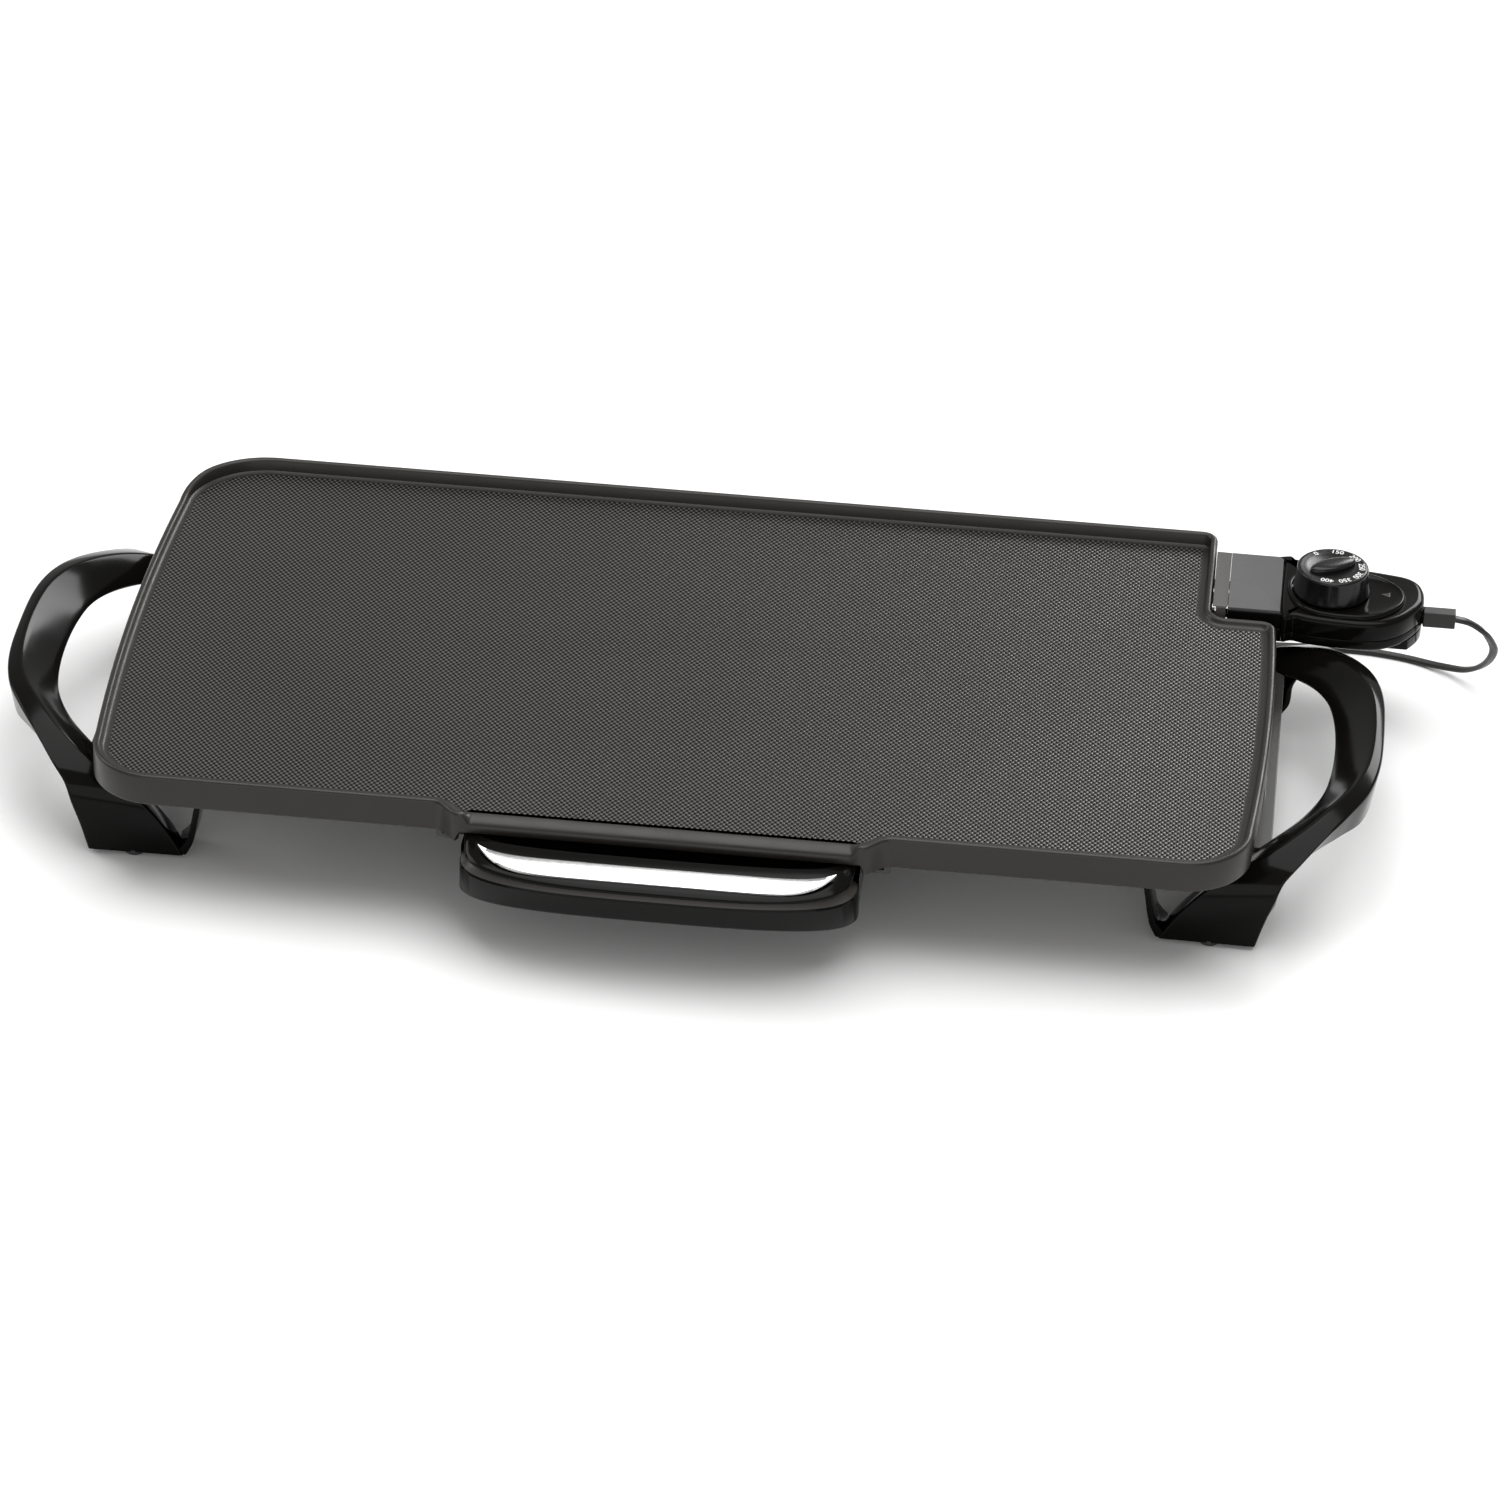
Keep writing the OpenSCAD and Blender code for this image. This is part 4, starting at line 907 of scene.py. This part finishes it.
def leg_wall(side, near, mirror):
    """Rings of one leg's inner wall, a thin arch that rises under the plate."""
    centre = [(45.5, 2.6), (48.6, 7), (51, 12.5), (54.2, 30), (56.9, 48)]
    path = spline_points([Vector((half_l - x, z, 0)) for x, z in centre], 6)
    far = HANDLE_Y + side * 99 + near
    width = 20
    rings = []
    for k, p in enumerate(path):
        run = (path[min(k + 1, len(path) - 1)] - path[max(k - 1, 0)]).normalized()
        cross = Vector((-run.y, run.x, 0))
        thick = 1.5 + 1.2 * (1 - k / len(path)) ** 3
        corners = []
        for across, y in ((-1, far), (-1, far - width), (1, far - width), (1, far)):
            q = p + cross * across * thick
            corners.append(Vector((q.x, y, max(q.y, 2.5))))
        rings.append([at(mirror * q.x, q.y, q.z) for q in rounded_loop(corners, [0.7] * 4, 2)])
    return rings


def handle(side_name, mirror):
    """One handle: the ribbon from foot to foot, and the inner walls of its legs."""
    steps = 9
    last = (len(SECTIONS) - 1) * steps
    rings = [ribbon_ring(k / steps, -1, mirror) for k in range(last, 0, -1)]
    rings += [ribbon_ring(k / steps, 1, mirror) for k in range(last + 1)]
    shape = Shape()
    shape.loft(rings)
    for side, near in ((-1, 8), (1, 12)):
        shape.loft(leg_wall(side, near, mirror))
    piece = shape.build(side_name + "_grip_moulding", [GLOSS], 42)
    place_piece(piece, side_name + "_grip", "gloss_black", side_name + "_handle")


# ---------- heat control ----------

CONTROL_WALL = 2.2
# Rim of the dished bezel, from the dial's middle: a ring that draws out to a blunt nose
BEZEL_RIM = [(-22.4, 2), (-20.4, -9), (-15.6, -18.4), (-8, -23.8), (0, -25.6), (8, -26), (16.7, -25.4),
             (25.2, -22.4), (31.6, -17), (36.6, -9.6), (38.2, -1.4), (36.4, 6), (31.6, 11.8), (26, 16.2),
             (20, 19.2), (11, 21.8), (2, 23), (-8, 21.5), (-16, 16.8), (-20.8, 9.8)]


def bezel():
    """Dished teardrop round the dial, with a raised rim."""
    base = CONTROL_TOP
    bead = ((0, -0.3), (0, 0.6), (0.25, 1.4), (0.8, 2.0), (1.5, 2.25), (2.1, 2.1), (2.4, 1.9))
    dish = ((0.15, 1.6), (0.35, 1.25), (0.6, 1.0), (0.8, 0.9), (1, 0.85))
    outline = smooth_loop([(DIAL_X + x, DIAL_Y + y) for x, y in BEZEL_RIM])
    normals = inward(outline)

    def rim(inset, height):
        return [at(p.x + n.x * inset, p.y + n.y * inset, base + height) for p, n in zip(outline, normals)]

    def circle(radius, height, share=1.0):
        """The rim drawn in towards a circle round the dial."""
        ring = []
        for p, n in zip(outline, normals):
            start = p + n * bead[-1][0]
            away = (p - Vector((DIAL_X, DIAL_Y))).normalized()
            goal = Vector((DIAL_X, DIAL_Y)) + away * radius
            q = start.lerp(goal, share)
            ring.append(at(q.x, q.y, base + height))
        return ring

    rings = [rim(inset, height) for inset, height in bead]
    rings += [circle(DIAL_R + 1.9, height, share) for share, height in dish]
    rings += [circle(DIAL_R - 1, height) for height in (0.4, -0.3)]
    shape = Shape()
    shape.loft(rings, wrap=True)
    place_piece(shape.build("bezel_dish", [GLOSS], 45), "heat_control", "gloss_black", "control_bezel")


def housing_outline():
    """Plan of the housing from above: straight front, round nose, slanting back."""
    front = NECK_Y - NECK_HALF
    back = NECK_Y + NECK_HALF
    side = [(0, 0.6), (7, -2), (15, -4.2), (28, -5.6), (41, -5.9), (51.5, -4), (61, 2.4), (68, 12)]
    nose = [(-0.8, -8), (0, -1), (-0.6, 6), (-3.2, 12.6), (-9, 17.4)]
    slant = [(54, 19.8 - NECK_HALF), (40, -5.8), (24, -3), (10, -0.9), (2, 0), (0, -3)]
    points = [(BODY_X + x, front + y) for x, y in side]
    points += [(TIP_X + x, NECK_Y + y) for x, y in nose]
    points += [(BODY_X + x, back + y) for x, y in slant]
    return smooth_loop(points)


def housing_rings(levels):
    """Rings of the housing's outline, one for each (inset, height)."""
    outline = housing_outline()
    normals = inward(outline)
    return [[at(p.x + n.x * inset, p.y + n.y * inset, height) for p, n in zip(outline, normals)]
            for inset, height in levels]


def neck_half(shape, corners):
    """Half of the neck's tunnel, swept along x from its section's corners (y, z)."""
    loop = [Vector((0, y, z)) for y, z in corners]
    run = rounded_loop(loop, [0.6] * len(loop))
    shape.loft([[at(x, p.y, p.z) for p in run] for x in (NECK_X, BODY_X + 2)])


def housing_upper():
    """Upper shell, with a hole for the dial's shaft and the neck's roof."""
    top, part, wall = CONTROL_TOP, PART_Z, CONTROL_WALL
    hole = 4.6
    rings = housing_rings((
        (0.7, part + 0.1), (0.15, part + 0.2), (0, part + 0.6), (0, top - 3.2), (0.2, top - 2.0),
        (0.75, top - 0.95), (1.6, top - 0.3), (2.7, top - 0.05), (3.6, top)))
    angles = [math.atan2(y - DIAL_Y, x - DIAL_X) for x, y, _ in (own(p) for p in rings[-1])]
    for height in (top, top - 2.4):
        rings.append([at(DIAL_X + hole * math.cos(angle), DIAL_Y + hole * math.sin(angle), height)
                      for angle in angles])
    rings += housing_rings(((2.4, top - 2.4), (2.4, part + 0.1)))
    shape = Shape()
    shape.loft(rings, wrap=True)
    near, far = NECK_Y - NECK_HALF, NECK_Y + NECK_HALF
    edge, roof = part + 0.1, top - 1.5
    neck_half(shape, [
        (near, edge), (near, roof), (far, roof), (far, edge), (far - wall, edge), (far - wall, roof - wall),
        (near + wall, roof - wall), (near + wall, edge)])
    place_piece(shape.build("housing_upper", [GLOSS], 40), "heat_control", "gloss_black", "control_upper")


def housing_lower():
    """Lower shell, raised in front to clear the handle and deeper behind it, and the neck's floor."""
    low, wall = CONTROL_LOW, CONTROL_WALL
    step = low + 5.8
    edge, base = PART_Z - 0.1, low + 1
    shape = Shape()
    shape.loft(housing_rings((
        (2.6, step + wall), (2.4, edge), (0.7, edge), (0.15, edge - 0.15), (0, edge - 0.5),
        (0, step + 2.4), (0.4, step + 1.1), (1.4, step + 0.25), (2.8, step))))
    deep = []
    front = NECK_Y - 19.8
    for inset, height in ((2.6, low + wall), (2.6, step + 0.6), (0.3, step + 0.6), (0.3, low + 1.4),
                          (0.7, low + 0.4), (1.8, low)):
        ring = [own(p) for p in housing_rings(((inset, height),))[0]]
        deep.append([at(x, max(y, front + inset), z) for x, y, z in ring])
    shape.loft(deep)
    near, far = NECK_Y - NECK_HALF, NECK_Y + NECK_HALF
    notch = near + 5.7
    neck_half(shape, [
        (near, edge), (near, step), (notch, step), (notch, base), (far, base), (far, edge),
        (far - wall, edge), (far - wall, base + wall), (notch + wall, base + wall),
        (notch + wall, step + wall), (near + wall, step + wall), (near + wall, edge)])
    place_piece(shape.build("housing_lower", [GLOSS], 40), "heat_control", "gloss_black", "control_lower")


def neck_plates():
    """Grey plate on the neck, and the lighter flange of the guard between it and the casting."""
    top = CONTROL_TOP
    cut = DIAL_R + 6.2
    right = []
    for k in range(25):
        y = NECK_Y - NECK_HALF + 0.5 + (2 * NECK_HALF - 1) * k / 24
        bite = math.sqrt(max(cut * cut - (y - DIAL_Y) ** 2, 0))
        right.append((min(BODY_X - 0.4, DIAL_X - bite), y))
    guard_top = own(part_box("terminal_guard")[1])[2]
    flange = [(NECK_X - 0.15, y) for _, y in right]
    for name, left, edge, material, high, thick, body, covers in (
            ("neck_plate", NECK_X, right, NECK, top - 0.1, 1.4, "heat_control", ["neck_cover"]),
            ("guard_flange", NOTCH_X + 0.3, flange, STRIP, guard_top + 0.5, 0.45, "griddle", [])):
        loop = [Vector(p) for p in [(left, right[0][1])] + edge + [(left, right[-1][1])]]
        normals = inward(loop)
        section = ((0, high - thick), (0, high - 0.3), (0.1, high - 0.1), (0.3, high))
        shape = Shape()
        shape.loft([[at(p.x + n.x * inset, p.y + n.y * inset, height) for p, n in zip(loop, normals)]
                    for inset, height in section])
        place_piece(shape.build(name, [material], 14), body, "neck_grey", *covers)


def dial_ring(radius, height, ribbed=0.0):
    """A circle round the dial's middle, with its ribs cut in by ribbed."""
    steps = 160
    points = []
    for k in range(steps):
        angle = 2 * math.pi * k / steps
        r = radius - (ribbed if (k // 4) % 2 == 0 else 0)
        points.append(at(DIAL_X + r * math.cos(angle), DIAL_Y + r * math.sin(angle), height))
    return points


def dial_grip(shape, low):
    """Raised grip: a lens across the dial, with a crowned back."""
    half_length, half_width, steps = 13.2, 5.6, 64
    turn = math.radians(31)
    crown = ((1, 0), (0.985, 1.2), (0.94, 2.0), (0.84, 2.5), (0.62, 2.8), (0.3, 2.95), (0.05, 3.0))
    loops = []
    for share, height in crown:
        loop = []
        for k in range(steps):
            angle = 2 * math.pi * k / steps
            u = half_length * math.cos(angle) * (share if share > 0.9 else share ** 0.8)
            v = half_width * math.copysign(abs(math.sin(angle)) ** 1.15, math.sin(angle)) * share
            loop.append(at(DIAL_X + u * math.cos(turn) - v * math.sin(turn),
                           DIAL_Y + u * math.sin(turn) + v * math.cos(turn), low + height))
        loops.append(loop)
    shape.loft(loops)


def dial():
    """Ribbed dial with a skirt, its grip and its numbers."""
    base, top = DIAL_BASE_Z, DIAL_TOP_Z
    skirt = DIAL_R + 1.2
    rows = [(skirt - 3, base + 0.2), (skirt - 0.5, base), (skirt, base + 0.4), (skirt - 0.05, base + 1.2),
            (skirt - 0.25, base + 2, 0.12), (DIAL_R + 0.1, top - 2.2, 0.12), (DIAL_R, top - 1.4),
            (DIAL_R - 0.15, top - 0.7), (DIAL_R - 0.55, top - 0.2), (DIAL_R - 1.2, top),
            (DIAL_R - 2.0, top - 0.05), (15.5, top - 0.12), (14.5, top - 0.2), (12.6, top - 0.3),
            (11.8, top - 0.5)]
    shape = Shape()
    shape.loft([dial_ring(*row) for row in rows])
    dial_grip(shape, top - 0.5)
    piece = shape.build("dial_cap", [DIAL], 40)
    place_piece(piece, "dial", "dial_black", "dial_knob")
    dial_print(top - 0.1)


def dial_print(height):
    """Numbers round the dial's edge, as thin raised print."""
    marks = [("0", 128), ("150", 83), ("200", 42), ("250", 6), ("300", -29), ("350", -64), ("400", -100)]
    print_r = 14.6
    verts, faces = [], []
    for text, degrees in marks:
        curve = bpy.data.curves.new("print", "FONT")
        curve.body = text
        curve.size = 4.5 * MM
        curve.extrude = 0.06 * MM
        curve.offset = 0.03 * MM
        curve.align_x = "CENTER"
        curve.align_y = "CENTER"
        made = bpy.data.objects.new("print", curve)
        bpy.context.scene.collection.objects.link(made)
        bpy.context.view_layer.update()
        mesh = bpy.data.meshes.new_from_object(made.evaluated_get(bpy.context.evaluated_depsgraph_get()))
        angle = math.radians(degrees)
        centre = at(DIAL_X + print_r * math.cos(angle), DIAL_Y + print_r * math.sin(angle), height)
        move = Matrix.Translation(centre) @ Matrix.Rotation(angle - math.pi / 2, 4, "Z")
        base = len(verts)
        verts += [move @ v.co for v in mesh.vertices]
        faces += [tuple(base + k for k in polygon.vertices) for polygon in mesh.polygons]
        bpy.data.objects.remove(made)
        bpy.data.curves.remove(curve)
        bpy.data.meshes.remove(mesh)
    piece = make("dial_numbers", verts, faces, [PRINT], None, 30)
    place_piece(piece, "dial", "dial_black")


# ---------- feet ----------


def foot(side, end):
    """A rubber nub under a leg, on a pad that fills the leg's hollow end."""
    name = side + "_" + end + "_foot"
    low, high = (own(corner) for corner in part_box(name))
    forward = 3.4 if end == "front" else 0
    nub = at((low[0] + high[0]) / 2, (low[1] + high[1]) / 2 - forward, 0)
    shape = Shape()
    shape.turned(nub, (0, 0, 1), [
        (0.5, 0), (3.6, 0.05), (5, 0.4), (5.6, 1.1), (5.8, 2.2), (5.8, 3.4), (0.5, 3.5)])
    left, right, front, back = low[0] + 0.5, high[0] - 0.5, low[1] + 0.5, high[1] - 0.5
    pad = [(left, front), (right, front), (right, back), (left, back)]
    shape.loft([[at(x, y, z) for x, y in pad] for z in (2.7, high[2])])
    place_piece(shape.build(name + "_rubber", [RUBBER], 40), side + "_grip", "foot_rubber", name)


# ---------- CAD nodes that keep their shape ----------


def dress(name, material, bevel, segments):
    """Gives a CAD node its material and softens its edges."""
    piece = nodes[name]
    for slot in piece.material_slots:
        slot.link = "OBJECT"
        slot.material = material
    weld = piece.modifiers.new("weld", "WELD")
    weld.merge_threshold = 0.000004
    if bevel:
        flat = piece.modifiers.new("flat", "DECIMATE")
        flat.decimate_type = "DISSOLVE"
        flat.angle_limit = math.radians(1)
        edge = piece.modifiers.new("edge", "BEVEL")
        edge.width = bevel * MM
        edge.segments = segments
        edge.limit_method = "ANGLE"
        edge.angle_limit = math.radians(28)
        edge.harden_normals = True


def dress_all():
    """Material, bevel in millimetres and bevel steps of each node that keeps its CAD shape."""
    for material, bevel, segments, names in (
            (LENS, 0.2, 2, ["pointer_lens"]),
            (VINYL, 0.6, 3, ["strain_relief"]),
            (BAR, 0.7, 3, ["left_crossbar", "right_crossbar"]),
            (RAIL, 0.4, 2, ["tray_rails"]),
            (STRIP, 0.25, 2, ["terminal_guard"]),
            (STEEL, 0.25, 2, ["left_bracket", "right_bracket", "thermostat_frame"]),
            (SCREW, 0.15, 2, ["guard_screws", "bracket_screws", "rail_screws", "housing_screws"]),
            (PIN, 0.15, 2, ["terminal_pins", "contact_points", "dial_shaft"]),
            (SHEATH, 0, 2, ["heating_element"]),
            (CERAMIC, 0.3, 2, ["terminal_bush"]),
            (PHENOLIC, 0.4, 2, ["socket_block"]),
            (BRASS, 0.1, 2, ["contact_sockets", "bimetal_strip"]),
            (PROBE, 0.4, 2, ["sensing_probe"]),
            (PROBE, 0.2, 2, ["probe_collar"]),
            (LAMP, 0, 2, ["neon_lamp"]),
            (VINYL, 0.2, 2, ["cord_tie"]),
            (PLUG, 1.4, 4, ["plug"]),
            (BRASS, 0.25, 2, ["plug_blades"])):
        for name in names:
            dress(name, material, bevel, segments)


camera()
studio()
cord()
plate()
drip_tray()
tray_trim()
handle("left", -1)
handle("right", 1)
for side_name in ("left", "right"):
    for end in ("front", "rear"):
        foot(side_name, end)
housing_upper()
housing_lower()
neck_plates()
bezel()
dial()
dress_all()
